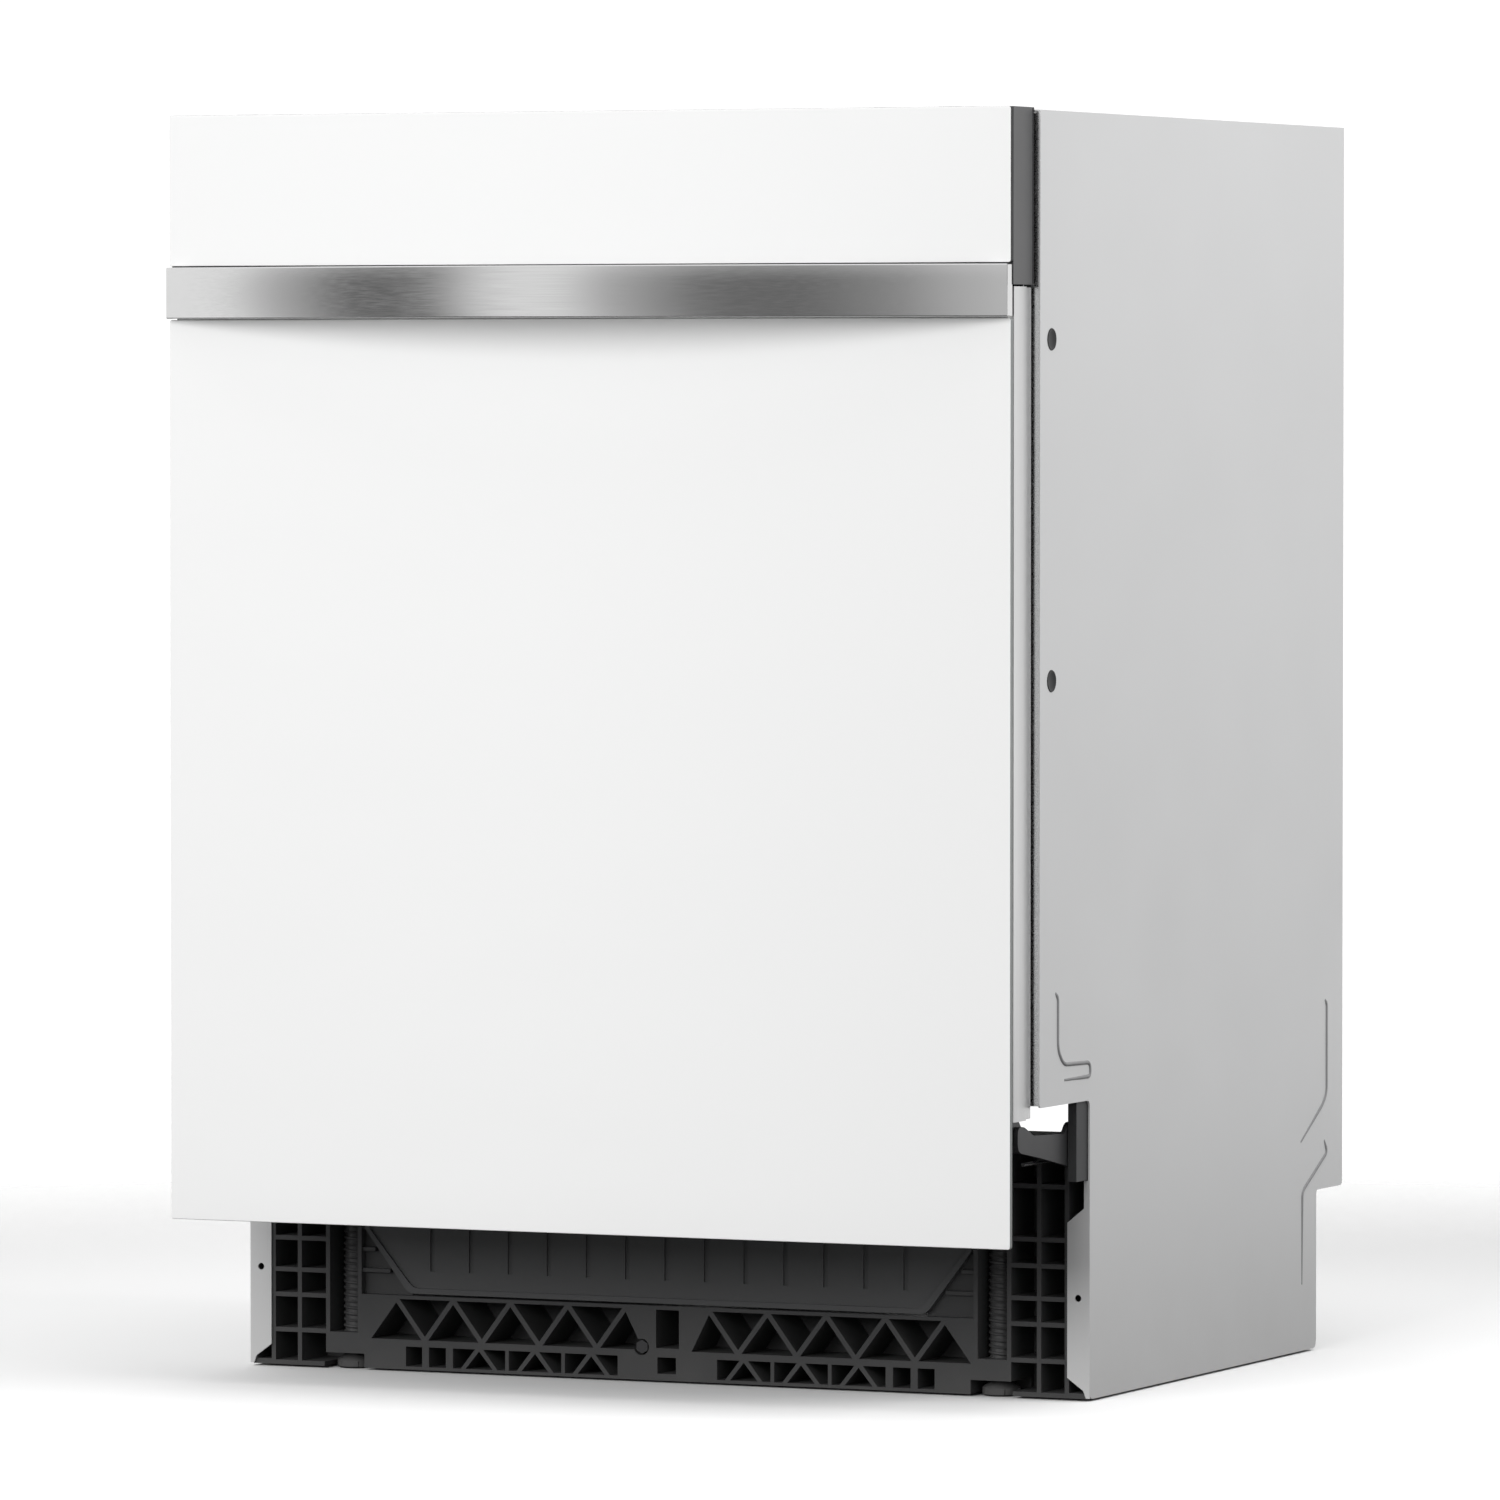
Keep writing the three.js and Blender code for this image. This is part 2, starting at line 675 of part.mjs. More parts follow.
function doorStrike() {
  return cut(joined([
    block(-14, 14, -223, -205, 811, tubCeilingZ - fit),
    block(-10, 10, -223, -220, 803, 812),
    block(-10, 10, -249, -220, 803, 806.2),
  ]), [block(-6, 6, -246, -238, 802, 807)]);
}

// ---- Door ----

function glassPanel(lowZ, highZ) {
  return prismY(rectangle(-doorHalf, doorHalf, lowZ, highZ, 1.5), glassFrontY, glassFrontY + glassThickness, 2);
}

// A bowed band that stands off a backing strip, with solid ends.
function handleBar() {
  const rise = handleEndY - handleFrontY;
  const outerRadius = (doorHalf ** 2 + rise ** 2) / (2 * rise);
  const centreY = handleFrontY + outerRadius;
  const arcPoint = (radius, x) => [x, centreY - Math.sqrt(radius ** 2 - x ** 2)];
  const backFrontY = -266;
  const backBackY = -263.2;
  const lugX = 285;
  const outer = new THREE.Shape();
  outer.moveTo(-doorHalf, backBackY);
  spaced(-doorHalf, doorHalf, 33).forEach((x) => outer.lineTo(...arcPoint(outerRadius, x)));
  outer.lineTo(doorHalf, backBackY);
  const gap = new THREE.Path();
  gap.moveTo(-lugX, backFrontY);
  spaced(-lugX, lugX, 33).forEach((x) => gap.lineTo(...arcPoint(outerRadius - handleBand, x)));
  gap.lineTo(lugX, backFrontY);
  outer.holes.push(gap);
  return prismZ(outer, handleLowZ + 0.4, handleHighZ - 0.4);
}

// The steel pan behind the glass, stepped in along its front edge, with a skirt below.
function doorFrame() {
  const frontY = -262.7;
  const stepY = -258.2;
  const backY = -237.6;
  const outerHalf = 297.5;
  const stepHalf = 295.5;
  const cavityHalf = 294.4;
  const whole = joined([
    block(-outerHalf, outerHalf, stepY, backY, frameBottomZ, frameTopZ),
    block(-stepHalf, stepHalf, frontY, stepY + 1, frameBottomZ, frameTopZ),
    block(-stepHalf, stepHalf, frontY, frontY + sheet, doorBottom + 3, frameBottomZ + 1),
  ]);
  const stiffeners = [-1, 1].map((side) => {
    return block(side * 250, side * 262, frontY + 0.5, frontY + 9, 230, 690);
  });
  return cut(whole, [
    block(-cavityHalf, cavityHalf, frontY + sheet, backY + 1, frameBottomZ + sheet, frameTopZ + 1),
    ...[-1, 1].map((side) => block(side * 287.5, side * 292.2, -254, backY + 1, 180, 192)),
  ]).add(joined(stiffeners));
}

// The stainless inner door: a pan with folded sides, two raised rack rails and two openings.
function doorLiner() {
  const half = 294;
  const [lowZ, highZ] = [190, 824];
  const backY = linerY;
  const frontY = backY - sheet;
  const foldY = -257;
  const foldTopZ = 714;
  const rails = [];
  [-1, 1].forEach((side) => {
    rails.push(block(side * 254, side * 276, backY - 1, -210.2, 204.5, 470));
    rails.push(block(side * (half - sheet), side * half, foldY, frontY + 1, lowZ, foldTopZ));
  });
  const railHollows = [-1, 1].map((side) => {
    return block(side * 255.5, side * 274.5, frontY - 1, -211.8, 206, 468.5);
  });
  return cut(joined([block(-half, half, frontY, backY, lowZ, highZ), ...rails]), [
    ...railHollows,
    block(-12.5, 112.5, frontY - 1, backY + 1, 427.5, 542.5),
    block(-15, 15, frontY - 1, backY + 1, 797, 811),
  ]);
}

const keySlots = { power_button: -250, start_button: 250, cycle_button: 205 };
const displayX = [-30, 60];
const keySize = [16, 9];
const keyY = -247;

// The dark control housing along the door's top: open below and behind.
function controlHousing() {
  const frontY = -262.8;
  const wall = 2.5;
  const topWall = 3;
  const inner = doorHalf - wall;
  const whole = cut(block(-doorHalf, doorHalf, frontY, housingBackY, housingBottomZ, doorTop), [
    block(-inner, inner, frontY + wall, housingBackY + 1, housingBottomZ - 1, doorTop - topWall),
  ]);
  const keyHoles = Object.values(keySlots).map((x) => {
    return block(x - keySize[0] / 2, x + keySize[0] / 2, keyY - keySize[1] / 2, keyY + keySize[1] / 2, 820, 832);
  });
  return cut(whole, [
    ...keyHoles,
    block(displayX[0], displayX[1], -256, -238, doorTop - 1.4, doorTop + 1),
  ]);
}

function displayWindow() {
  return block(displayX[0] + fit, displayX[1] - fit, -255.7, -238.3, doorTop - 1.1, doorTop + 0.2);
}

// A key cap with a stem, its top face at the origin's height.
function keyCap() {
  const [width, depth] = [keySize[0] - 1, keySize[1] - 1];
  return joined([
    block(-width / 2, width / 2, -depth / 2, depth / 2, -5, 0),
    block(-width / 2 - 1.5, width / 2 + 1.5, -depth / 2 - 1.5, depth / 2 + 1.5, -6.6, -4.9),
    block(-2, 2, -2, 2, -12, -6),
  ]);
}

const cupX = [4, 52];
const cupZ = [442, 508];
const capX = 84;
const capZ = 476;
const capRadius = 17;

function detergentDispenser() {
  const faceY = -232.4;
  const body = joined([
    block(-12, 112, -246, -233.6, 428, 542),
    prismY(rectangle(-18, 118, 422, 548, 10), linerY + 0.4, faceY, 4),
    block(20, 100, -256, -245, 440, 520),
  ]);
  return cut(body, [
    block(...cupX, -252, faceY + 1, ...cupZ),
    bar("y", capRadius + 0.6, [capX, capZ], -238, faceY + 1, 28),
  ]);
}

function detergentLid() {
  return joined([
    prismY(rectangle(cupX[0] - 5, cupX[1] + 5, cupZ[0] - 5, cupZ[1] + 5, 5), -232, -229.4),
    block(cupX[0] + 14, cupX[1] - 14, -230, -227.4, cupZ[0] - 3, cupZ[0] + 3),
  ]);
}

// A round cap with a grip rib, about the y axis through the origin.
function rinseAidCap() {
  return joined([
    bar("y", capRadius, [0, 0], -4.6, 1.4, 28),
    block(-capRadius + 3, capRadius - 3, 1, 5, -2.5, 2.5),
  ]);
}

function latchCase() {
  return cut(block(-30, 30, -257, -238, 786, 822), [
    block(-14, 14, -253, -237, 800, 814),
    bar("x", 2.4, [-249.5, 810.4], -31, 31, 12),
  ]);
}

// The latch's pawl: a cross pin with a short arm, about the x axis through the origin.
function latchHook() {
  return joined([
    bar("x", 2, [0, 0], -17, 17, 12),
    block(-11, 11, -1.6, 9.5, -2.2, 0.6),
  ]);
}

function doorBottomSeal() {
  return prismX(outline([
    [linerY + 0.4, 193.2], [tubFrontY - 0.9, 193.2, 1], [tubFrontY - 0.9, 196, 1],
    [linerY + 3, 199], [linerY + 0.4, 199],
  ]), -286, 286, 3);
}

// ---- Racks ----

// A closed rectangle of square wire, lying level.
function wireRing(half, y0, y1, z) {
  const ring = rectangle(-half, half, y0, y1);
  ring.holes.push(rectangle(-half + wire, half - wire, y0 + wire, y1 - wire));
  return prismZ(ring, z, z + wire);
}

// Rings, then uprights set a little inside them, then floor wires that cross at two levels.
function wireBasket(half, y0, y1, [lowZ, highZ], ringHeights) {
  const inset = 1.3;
  const solids = ringHeights.map((z) => wireRing(half, y0, y1, z));
  const [uprightLowZ, uprightHighZ] = [lowZ + 0.7, highZ - 1.1];
  spaced(-half + 60, half - 60 - wire, 4).forEach((x) => {
    solids.push(block(x, x + wire, y0 + 0.9, y1 - 0.9, lowZ + 0.8, lowZ + 0.8 + wire));
    solids.push(block(x + 0.5, x + wire - 0.5, y0 + inset, y0 + inset + wire, uprightLowZ, uprightHighZ));
    solids.push(block(x + 0.5, x + wire - 0.5, y1 - inset - wire, y1 - inset, uprightLowZ, uprightHighZ));
  });
  spaced(y0 + 40, y1 - 40 - wire, 4).forEach((y) => {
    solids.push(block(-half + 0.9, half - 0.9, y, y + wire, lowZ + 2.9, lowZ + 2.9 + wire));
    solids.push(block(-half + inset, -half + inset + wire, y + 0.5, y + wire - 0.5, uprightLowZ, uprightHighZ));
    solids.push(block(half - inset - wire, half - inset, y + 0.5, y + wire - 0.5, uprightLowZ, uprightHighZ));
  });
  return joined(solids);
}

function lowerRack() {
  const [lowZ, highZ] = lowerRackZ;
  const basket = wireBasket(rackHalf, rackFrontY, rackBackY, lowerRackZ, [lowZ, 330, highZ - wire]);
  const axleZ = tubFloorZ + 0.5 + wheelRadius;
  const carriers = [];
  [-1, 1].forEach((side) => {
    wheelY.forEach((y) => {
      carriers.push(block(side * (rackHalf - 1), side * (rackHalf + 2.4), y - 9, y + 9, axleZ - 7, lowZ + 8));
      carriers.push(bar("x", 3, [y, axleZ], side * rackHalf, side * (wheelX + wheelWidth / 2 + 1), 12));
    });
  });
  return joined([basket, ...carriers]);
}

// A rack wheel about the x axis through the origin, bored for its axle.
function rackWheel() {
  const half = wheelWidth / 2;
  const rim = bar("x", wheelRadius, [0, 0], -half, half, 18);
  return cut(rim, [
    bar("x", 3.3, [0, 0], -half - 1, half + 1, 12),
    bar("x", wheelRadius - 4, [0, 0], half - 2, half + 1, 18).subtract(bar("x", 6, [0, 0], half - 3, half + 2, 12)),
  ]);
}

function upperRack() {
  const [lowZ] = upperRackZ;
  const basket = wireBasket(rackHalf, rackFrontY, rackBackY, upperRackZ, [lowZ, 560, upperRackZ[1] - wire]);
  const slides = [-1, 1].map((side) => {
    return block(side * (rackHalf - 1), side * 262, rackFrontY + 8, rackBackY - 35, slideZ[0] + 3, slideZ[1] - 3);
  });
  const ductBackY = rackBackY + 2;
  return joined([
    basket,
    ...slides,
    block(-13, 13, armCentre[1] - 14, ductBackY, 491, lowZ + 2.3),
    block(-14, 14, ductBackY - 8, ductBackY, 470, lowZ + 10),
    bar("z", 9, armCentre, 466, lowZ, 16),
    bar("z", 14, armCentre, 465, 470.4, 16),
  ]);
}

// An open-topped cutlery basket with dividers.
function cutleryBasket() {
  const [x0, x1] = [168, 240];
  const [y0, y1] = [-150, 90];
  const [z0, z1] = [269.4, 385];
  const wall = 2.4;
  const count = 5;
  const step = (y1 - y0 - wall) / count;
  const cells = Array.from({ length: count }, (_, i) => {
    const from = y0 + wall + step * i;
    return block(x0 + wall, x1 - wall, from, from + step - wall, z0 + wall, z1 + 1);
  });
  const gripX = [x0 + 33, x0 + 39];
  const [gripY0, gripY1] = [y0 + step * 2, y0 + step * 3 + wall];
  const handle = cut(block(...gripX, gripY0, gripY1, z1 - 40, z1 + 34), [
    block(gripX[0] - 1, gripX[1] + 1, gripY0 + 8, gripY1 - 8, z1 - 4, z1 + 26),
  ]);
  return cut(block(x0, x1, y0, y1, z0, z1), cells).add(handle);
}

// One telescopic track: a bar that slides between its wall rail and the rack's own slide.
function upperTrack(side) {
  return block(side * 262.6, side * 271, rackFrontY - 12, 240, ...slideZ);
}

// The fixed rail on the tub's wall.
function railBracket(side) {
  return block(side * 271.6, side * (tubHalf - fit), -205, 255, slideZ[0] - 4, slideZ[1] + 4);
}

// ---- The dishwasher ----

const dishwasher = new THREE.Group();
const sides = { left: -1, right: 1 };

const cabinet = new THREE.Group();
part(cabinet, "tub", tub(), steel());
part(cabinet, "tub_gasket", tubGasket(), rubber());
part(cabinet, "top_front_brace", topFrontBrace(), galvanised());
part(cabinet, "rear_brace", rearBrace(), galvanised());
part(cabinet, "base_front_frame", baseFrontFrame(), darkPlastic());
part(cabinet, "base_pan", basePan(), darkPlastic());
part(cabinet, "kick_scoop_cover", kickScoopCover(), darkPlastic());
part(cabinet, "sump_housing", sumpHousing(), greyPlastic());
part(cabinet, "coarse_filter_plate", coarseFilterPlate(), steel());
part(cabinet, "heating_element", heatingElement(), steel());
part(cabinet, "feed_tube", feedTube(), greyPlastic());
part(cabinet, "circulation_pump", circulationPump(), look(0xa8aaad, 0.5, 0.3));
part(cabinet, "drain_pump", drainPump(), look(0x5a5d60, 0.55, 0.0));
part(cabinet, "inlet_valve", inletValve(), look(0xe6e6e2, 0.5, 0.0));
part(cabinet, "terminal_box", terminalBox(), look(0xc9cbcc, 0.5, 0.6));
part(cabinet, "door_strike", doorStrike(), steel());
for (const [name, side] of Object.entries(sides)) {
  part(cabinet, `side_panel_${name}`, sidePanel(side), look(0xd0d1d2, 0.42, 0.35));
  part(cabinet, `hinge_bracket_${name}`, hingeBracket(side), look(0x55575a, 0.5, 0.7));
  part(cabinet, `door_spring_${name}`, doorSpring(side), galvanised());
  part(cabinet, `rail_bracket_${name}`, railBracket(side), steel());
  part(cabinet, `levelling_leg_${name}`, levellingLeg(150), look(0x4a4b4d, 0.6, 0.0), [side * legX, legY, 0]);
}
part(cabinet, "rear_leg", levellingLeg(60), look(0x4a4b4d, 0.6, 0.0), [rearLegX, rearLegY, 0]);
part(cabinet, "rear_leg_shaft", rearLegShaft(), galvanised(), [shaftX, 0, shaftZ]);
part(cabinet, "fine_filter", fineFilter(), look(0x9fa4a8, 0.5, 0.0), [...filterCentre, 110]);
part(cabinet, "overfill_float", overfillFloat(), look(0xe4e4e0, 0.5, 0.0), [-170, -120, tubFloorZ + 0.6]);
part(cabinet, "lower_spray_arm", sprayArm(lowerArmReach, postRadius + 0.6, 10, 24, 10), greyPlastic(), [...armCentre, 240]);
part(cabinet, "top_spray_arm", topSprayArm(), greyPlastic(), [...armCentre, 766]);
dishwasher.add(cabinet);

const door = new THREE.Group();
part(door, "glass_panel_upper", glassPanel(handleHighZ + 0.4, doorTop), whiteGlass());
part(door, "glass_panel_lower", glassPanel(doorBottom, handleLowZ - 0.4), whiteGlass());
part(door, "handle_bar", handleBar(), look(0xb9bbbc, 0.28, 1.0));
part(door, "door_frame", doorFrame(), look(0xcfd0d1, 0.4, 0.6));
part(door, "door_liner", doorLiner(), steel());
part(door, "control_housing", controlHousing(), look(0x606163, 0.5, 0.0));
part(door, "display_window", displayWindow(), look(0x101214, 0.08, 0.0));
part(door, "detergent_dispenser", detergentDispenser(), greyPlastic());
part(door, "detergent_lid", detergentLid(), look(0x7d8286, 0.45, 0.0));
part(door, "rinse_aid_cap", rinseAidCap(), look(0x6d7276, 0.45, 0.0), [capX, -233, capZ]);
part(door, "latch_case", latchCase(), darkPlastic());
part(door, "latch_hook", latchHook(), steel(), [0, -249.5, 810.4]);
part(door, "door_bottom_seal", doorBottomSeal(), rubber());
for (const [name, x] of Object.entries(keySlots)) {
  part(door, name, keyCap(), look(0x2c2d2f, 0.4, 0.0), [x, keyY, 830]);
}
for (const [name, side] of Object.entries(sides)) {
  part(door, `hinge_arm_${name}`, hingeArm(side), galvanised());
}
dishwasher.add(door);

const lowerRackGroup = new THREE.Group();
part(lowerRackGroup, "lower_rack", lowerRack(), wireGrey());
part(lowerRackGroup, "cutlery_basket", cutleryBasket(), look(0x6f7377, 0.55, 0.0));
for (const [name, side] of Object.entries(sides)) {
  wheelY.forEach((y, row) => {
    const end = row === 0 ? "front" : "rear";
    const axleZ = tubFloorZ + 0.5 + wheelRadius;
    part(lowerRackGroup, `rack_wheel_${end}_${name}`, rackWheel(), greyPlastic(), [side * wheelX, y, axleZ]);
  });
}
dishwasher.add(lowerRackGroup);

const upperRackGroup = new THREE.Group();
part(upperRackGroup, "upper_rack", upperRack(), wireGrey());
part(upperRackGroup, "upper_spray_arm", sprayArm(upperArmReach, 9.5, 20, 18, 9), greyPlastic(), [...armCentre, 476]);
for (const [name, side] of Object.entries(sides)) {
  part(upperRackGroup, `upper_track_${name}`, upperTrack(side), steel());
}
dishwasher.add(upperRackGroup);

export default dishwasher;
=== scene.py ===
"""A built-in dishwasher, dressed piece by piece over its frame of plain solids.

Metres, with +Z up and the door towards -Y.
"""

import math

import bmesh
import bpy
from bpy.props import FloatProperty, FloatVectorProperty, IntProperty, PointerProperty
from mathutils import Matrix, Vector


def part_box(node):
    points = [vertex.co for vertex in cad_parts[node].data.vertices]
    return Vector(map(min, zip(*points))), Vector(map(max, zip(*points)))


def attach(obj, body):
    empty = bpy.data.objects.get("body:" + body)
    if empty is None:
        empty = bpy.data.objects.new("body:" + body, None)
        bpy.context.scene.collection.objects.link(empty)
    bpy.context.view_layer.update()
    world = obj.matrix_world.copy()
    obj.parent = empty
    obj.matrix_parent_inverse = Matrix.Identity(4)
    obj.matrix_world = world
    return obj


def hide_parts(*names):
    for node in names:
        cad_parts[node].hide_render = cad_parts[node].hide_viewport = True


bl_info = {
    "name": "Built-in dishwasher",
    "version": (1, 0, 0),
    "blender": (4, 5, 0),
    "location": "3D View > Sidebar > Dishwasher",
    "description": "Dresses a built-in dishwasher's frame with its visible pieces and finishes",
    "category": "Add Mesh",
}

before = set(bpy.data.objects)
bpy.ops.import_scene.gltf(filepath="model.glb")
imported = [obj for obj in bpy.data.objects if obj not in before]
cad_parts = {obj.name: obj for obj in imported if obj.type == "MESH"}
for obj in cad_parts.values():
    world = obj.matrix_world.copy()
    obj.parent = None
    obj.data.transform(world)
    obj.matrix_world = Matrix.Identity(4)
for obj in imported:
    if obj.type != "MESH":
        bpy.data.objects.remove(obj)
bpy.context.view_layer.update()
MM = 0.001


# ---- Sizes and colours a user may change ----

class DishwasherSizes(bpy.types.PropertyGroup):
    """Sizes of the pieces that are made here."""

    thread_pitch: FloatProperty(name="Thread pitch", description="Rise of one turn of a leg's thread",
                                default=0.0042, unit="LENGTH")
    wire_radius: FloatProperty(name="Wire radius", description="Half the thickness of a rack's thin wires",
                               default=0.0017, unit="LENGTH")
    rim_radius: FloatProperty(name="Rim radius", description="Half the thickness of a rack's rim wires",
                              default=0.0026, unit="LENGTH")
    tine_pitch: FloatProperty(name="Tine pitch", description="Distance between two tines in a row",
                              default=0.025, unit="LENGTH")
    tine_height: FloatProperty(name="Tine height", description="Height of a lower rack tine",
                               default=0.078, unit="LENGTH")
    bead_width: FloatProperty(name="Bead width", description="Width of the beads pressed in the side panels",
                              default=0.0026, unit="LENGTH")
    coil_turns: IntProperty(name="Coil turns", description="Turns of a door spring", default=42)


class DishwasherColours(bpy.types.PropertyGroup):
    """Colours of the finishes."""

    glass: FloatVectorProperty(name="Glass", description="White behind the door glass", subtype="COLOR",
                               default=(0.93, 0.932, 0.93))
    sheet: FloatVectorProperty(name="Sheet", description="Side panel sheet", subtype="COLOR",
                               default=(0.66, 0.662, 0.665))
    base: FloatVectorProperty(name="Base", description="Moulded base plastic", subtype="COLOR",
                              default=(0.052, 0.053, 0.055))
    steel: FloatVectorProperty(name="Steel", description="Bright steel", subtype="COLOR",
                               default=(0.62, 0.62, 0.62))
    coating: FloatVectorProperty(name="Coating", description="Rack wire coating", subtype="COLOR",
                                 default=(0.34, 0.36, 0.38))


def sizes():
    return bpy.context.scene.dishwasher_sizes


def colours():
    return bpy.context.scene.dishwasher_colours


# ---- Mesh helpers ----

def piece_from(name, verts, faces, finish, body, slot, stands_for=(), smooth=False):
    """A finished piece: mesh, material and the body it rides on; the slot argument is not used."""
    mesh = bpy.data.meshes.new(name)
    mesh.from_pydata([tuple(v) for v in verts], [], faces)
    mesh.validate()
    return piece_with(name, mesh, finish, body, slot, stands_for, smooth)


def piece_with(name, mesh, finish, body, slot, stands_for=(), smooth=False):
    """The same, from a mesh that is already made."""
    made = bmesh.new()
    made.from_mesh(mesh)
    bmesh.ops.remove_doubles(made, verts=made.verts, dist=1e-6)
    bmesh.ops.recalc_face_normals(made, faces=made.faces)
    for face in made.faces:
        face.smooth = smooth
    made.to_mesh(mesh)
    made.free()
    mesh.materials.clear()
    mesh.materials.append(FINISHES[finish])
    for polygon in mesh.polygons:
        polygon.material_index = 0
    piece = bpy.data.objects.new(name, mesh)
    bpy.context.scene.collection.objects.link(piece)
    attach(piece, body)
    if stands_for:
        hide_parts(*stands_for)
    return piece


def soften(piece, width, segments=2, angle=40):
    """A live bevel on the piece's sharp edges."""
    bevel = piece.modifiers.new("Soft edges", "BEVEL")
    bevel.width = width
    bevel.segments = segments
    bevel.limit_method = "ANGLE"
    bevel.angle_limit = math.radians(angle)
    bevel.harden_normals = False
    return piece


def smooth_by_angle(piece, angle=35):
    """Smooth faces with sharp edges kept above an angle."""
    piece.data.set_sharp_from_angle(angle=math.radians(angle))
    for polygon in piece.data.polygons:
        polygon.use_smooth = True
    return piece


class Shape:
    """Vertices and faces gathered from simple closed forms."""

    def __init__(self):
        self.verts = []
        self.faces = []

    def add(self, verts, faces):
        start = len(self.verts)
        self.verts.extend(Vector(v) for v in verts)
        self.faces.extend([start + i for i in face] for face in faces)

    def box(self, low, high):
        x0, y0, z0 = low
        x1, y1, z1 = high
        corners = [(x0, y0, z0), (x1, y0, z0), (x1, y1, z0), (x0, y1, z0),
                   (x0, y0, z1), (x1, y0, z1), (x1, y1, z1), (x0, y1, z1)]
        sides = [(0, 3, 2, 1), (4, 5, 6, 7), (0, 1, 5, 4), (1, 2, 6, 5), (2, 3, 7, 6), (3, 0, 4, 7)]
        self.add(corners, sides)

    def sweep(self, path, section, closed=False):
        """A section of (across, up) points carried along a path of points."""
        path = [Vector(p) for p in path]
        count, ring = len(path), len(section)
        verts, faces = [], []
        for i, point in enumerate(path):
            before = path[i - 1] if i or closed else path[0]
            after = path[(i + 1) % count] if i < count - 1 or closed else path[-1]
            along = (after - before).normalized()
            up = Vector((0, 0, 1)) if abs(along.z) < 0.95 else Vector((0, -1, 0))
            across = along.cross(up).normalized()
            up = across.cross(along).normalized()
            verts += [point + across * a + up * b for a, b in section]
        spans = count if closed else count - 1
        for i in range(spans):
            here, there = i * ring, ((i + 1) % count) * ring
            for k in range(ring):
                following = (k + 1) % ring
                faces.append((here + k, here + following, there + following, there + k))
        if not closed:
            faces.append(tuple(reversed(range(ring))))
            faces.append(tuple((count - 1) * ring + k for k in range(ring)))
        self.add(verts, faces)

    def turned(self, profile, axis="z", centre=(0, 0, 0), segments=40):
        """A profile of (radius, height) turned about an axis through the centre."""
        centre = Vector(centre)
        verts, rings = [], []
        for radius, height in profile:
            if radius == 0:
                rings.append([len(verts)])
                verts.append(self.on_axis(axis, 0, 0, height) + centre)
                continue
            rings.append(list(range(len(verts), len(verts) + segments)))
            for k in range(segments):
                angle = 2 * math.pi * k / segments
                across, along = radius * math.cos(angle), radius * math.sin(angle)
                verts.append(self.on_axis(axis, across, along, height) + centre)
        faces = []
        closed = profile[0] == profile[-1] and profile[0][0] > 0
        for lower, upper in zip(rings, rings[1:]):
            for k in range(segments):
                following = (k + 1) % segments
                corners = [lower[k % len(lower)], lower[following % len(lower)],
                           upper[following % len(upper)], upper[k % len(upper)]]
                faces.append(tuple(dict.fromkeys(corners)))
        if not closed:
            for end in (rings[0], rings[-1]):
                if len(end) > 1:
                    faces.append(tuple(end))
        self.add(verts, faces)

    @staticmethod
    def on_axis(axis, a, b, height):
        if axis == "x":
            return Vector((height, a, b))
        if axis == "y":
            return Vector((a, height, b))
        return Vector((a, b, height))

    def piece(self, name, finish, body, slot, stands_for=(), smooth=False):
        return piece_from(name, self.verts, self.faces, finish, body, slot, stands_for, smooth)


def round_section(radius, sides=12):
    return [(radius * math.cos(2 * math.pi * k / sides), radius * math.sin(2 * math.pi * k / sides))
            for k in range(sides)]


def rounded_rectangle(width, height, radius, steps=3):
    """Points of a rectangle about the origin with round corners."""
    points = []
    for turn, (sx, sy) in enumerate([(1, 1), (-1, 1), (-1, -1), (1, -1)]):
        for k in range(steps + 1):
            angle = math.pi / 2 * (turn + k / steps)
            points.append((sx * (width / 2 - radius) + radius * math.cos(angle),
                           sy * (height / 2 - radius) + radius * math.sin(angle)))
    return points


def rounded_path(points, radius, steps=5, closed=False):
    """A path of points with its corners rounded."""
    points = [Vector(p) for p in points]
    count = len(points)
    path = []
    for i, here in enumerate(points):
        if not closed and i in (0, count - 1):
            path.append(here)
            continue
        before, after = points[i - 1], points[(i + 1) % count]
        reach = min(radius, (before - here).length * 0.45, (after - here).length * 0.45)
        into = here + (before - here).normalized() * reach
        out = here + (after - here).normalized() * reach
        for k in range(steps + 1):
            t = k / steps
            path.append(into.lerp(here, t).lerp(here.lerp(out, t), t))
    return path


def spaced(low, high, count):
    return [low + (high - low) * i / (count - 1) for i in range(count)]


# ---- Shader groups that several finishes share ----

def link(tree, output, into):
    tree.links.new(output, into)


def group_tree(name, inputs, outputs):
    """An empty shader group with named sockets, each (name, socket type, default)."""
    tree = bpy.data.node_groups.new(name, "ShaderNodeTree")
    for label, kind, default in inputs:
        socket = tree.interface.new_socket(name=label, in_out="INPUT", socket_type=kind)
        socket.default_value = default
    for label, kind in outputs:
        tree.interface.new_socket(name=label, in_out="OUTPUT", socket_type=kind)
    return tree, tree.nodes.new("NodeGroupInput"), tree.nodes.new("NodeGroupOutput")


def object_point(tree, scale=None):
    """The surface point, stretched by a group's scale input where there is one."""
    place = tree.nodes.new("ShaderNodeTexCoord")
    if scale is None:
        return place.outputs["Object"]
    stretch = tree.nodes.new("ShaderNodeVectorMath")
    stretch.operation = "MULTIPLY"
    link(tree, place.outputs["Object"], stretch.inputs[0])
    link(tree, scale, stretch.inputs[1])
    return stretch.outputs[0]


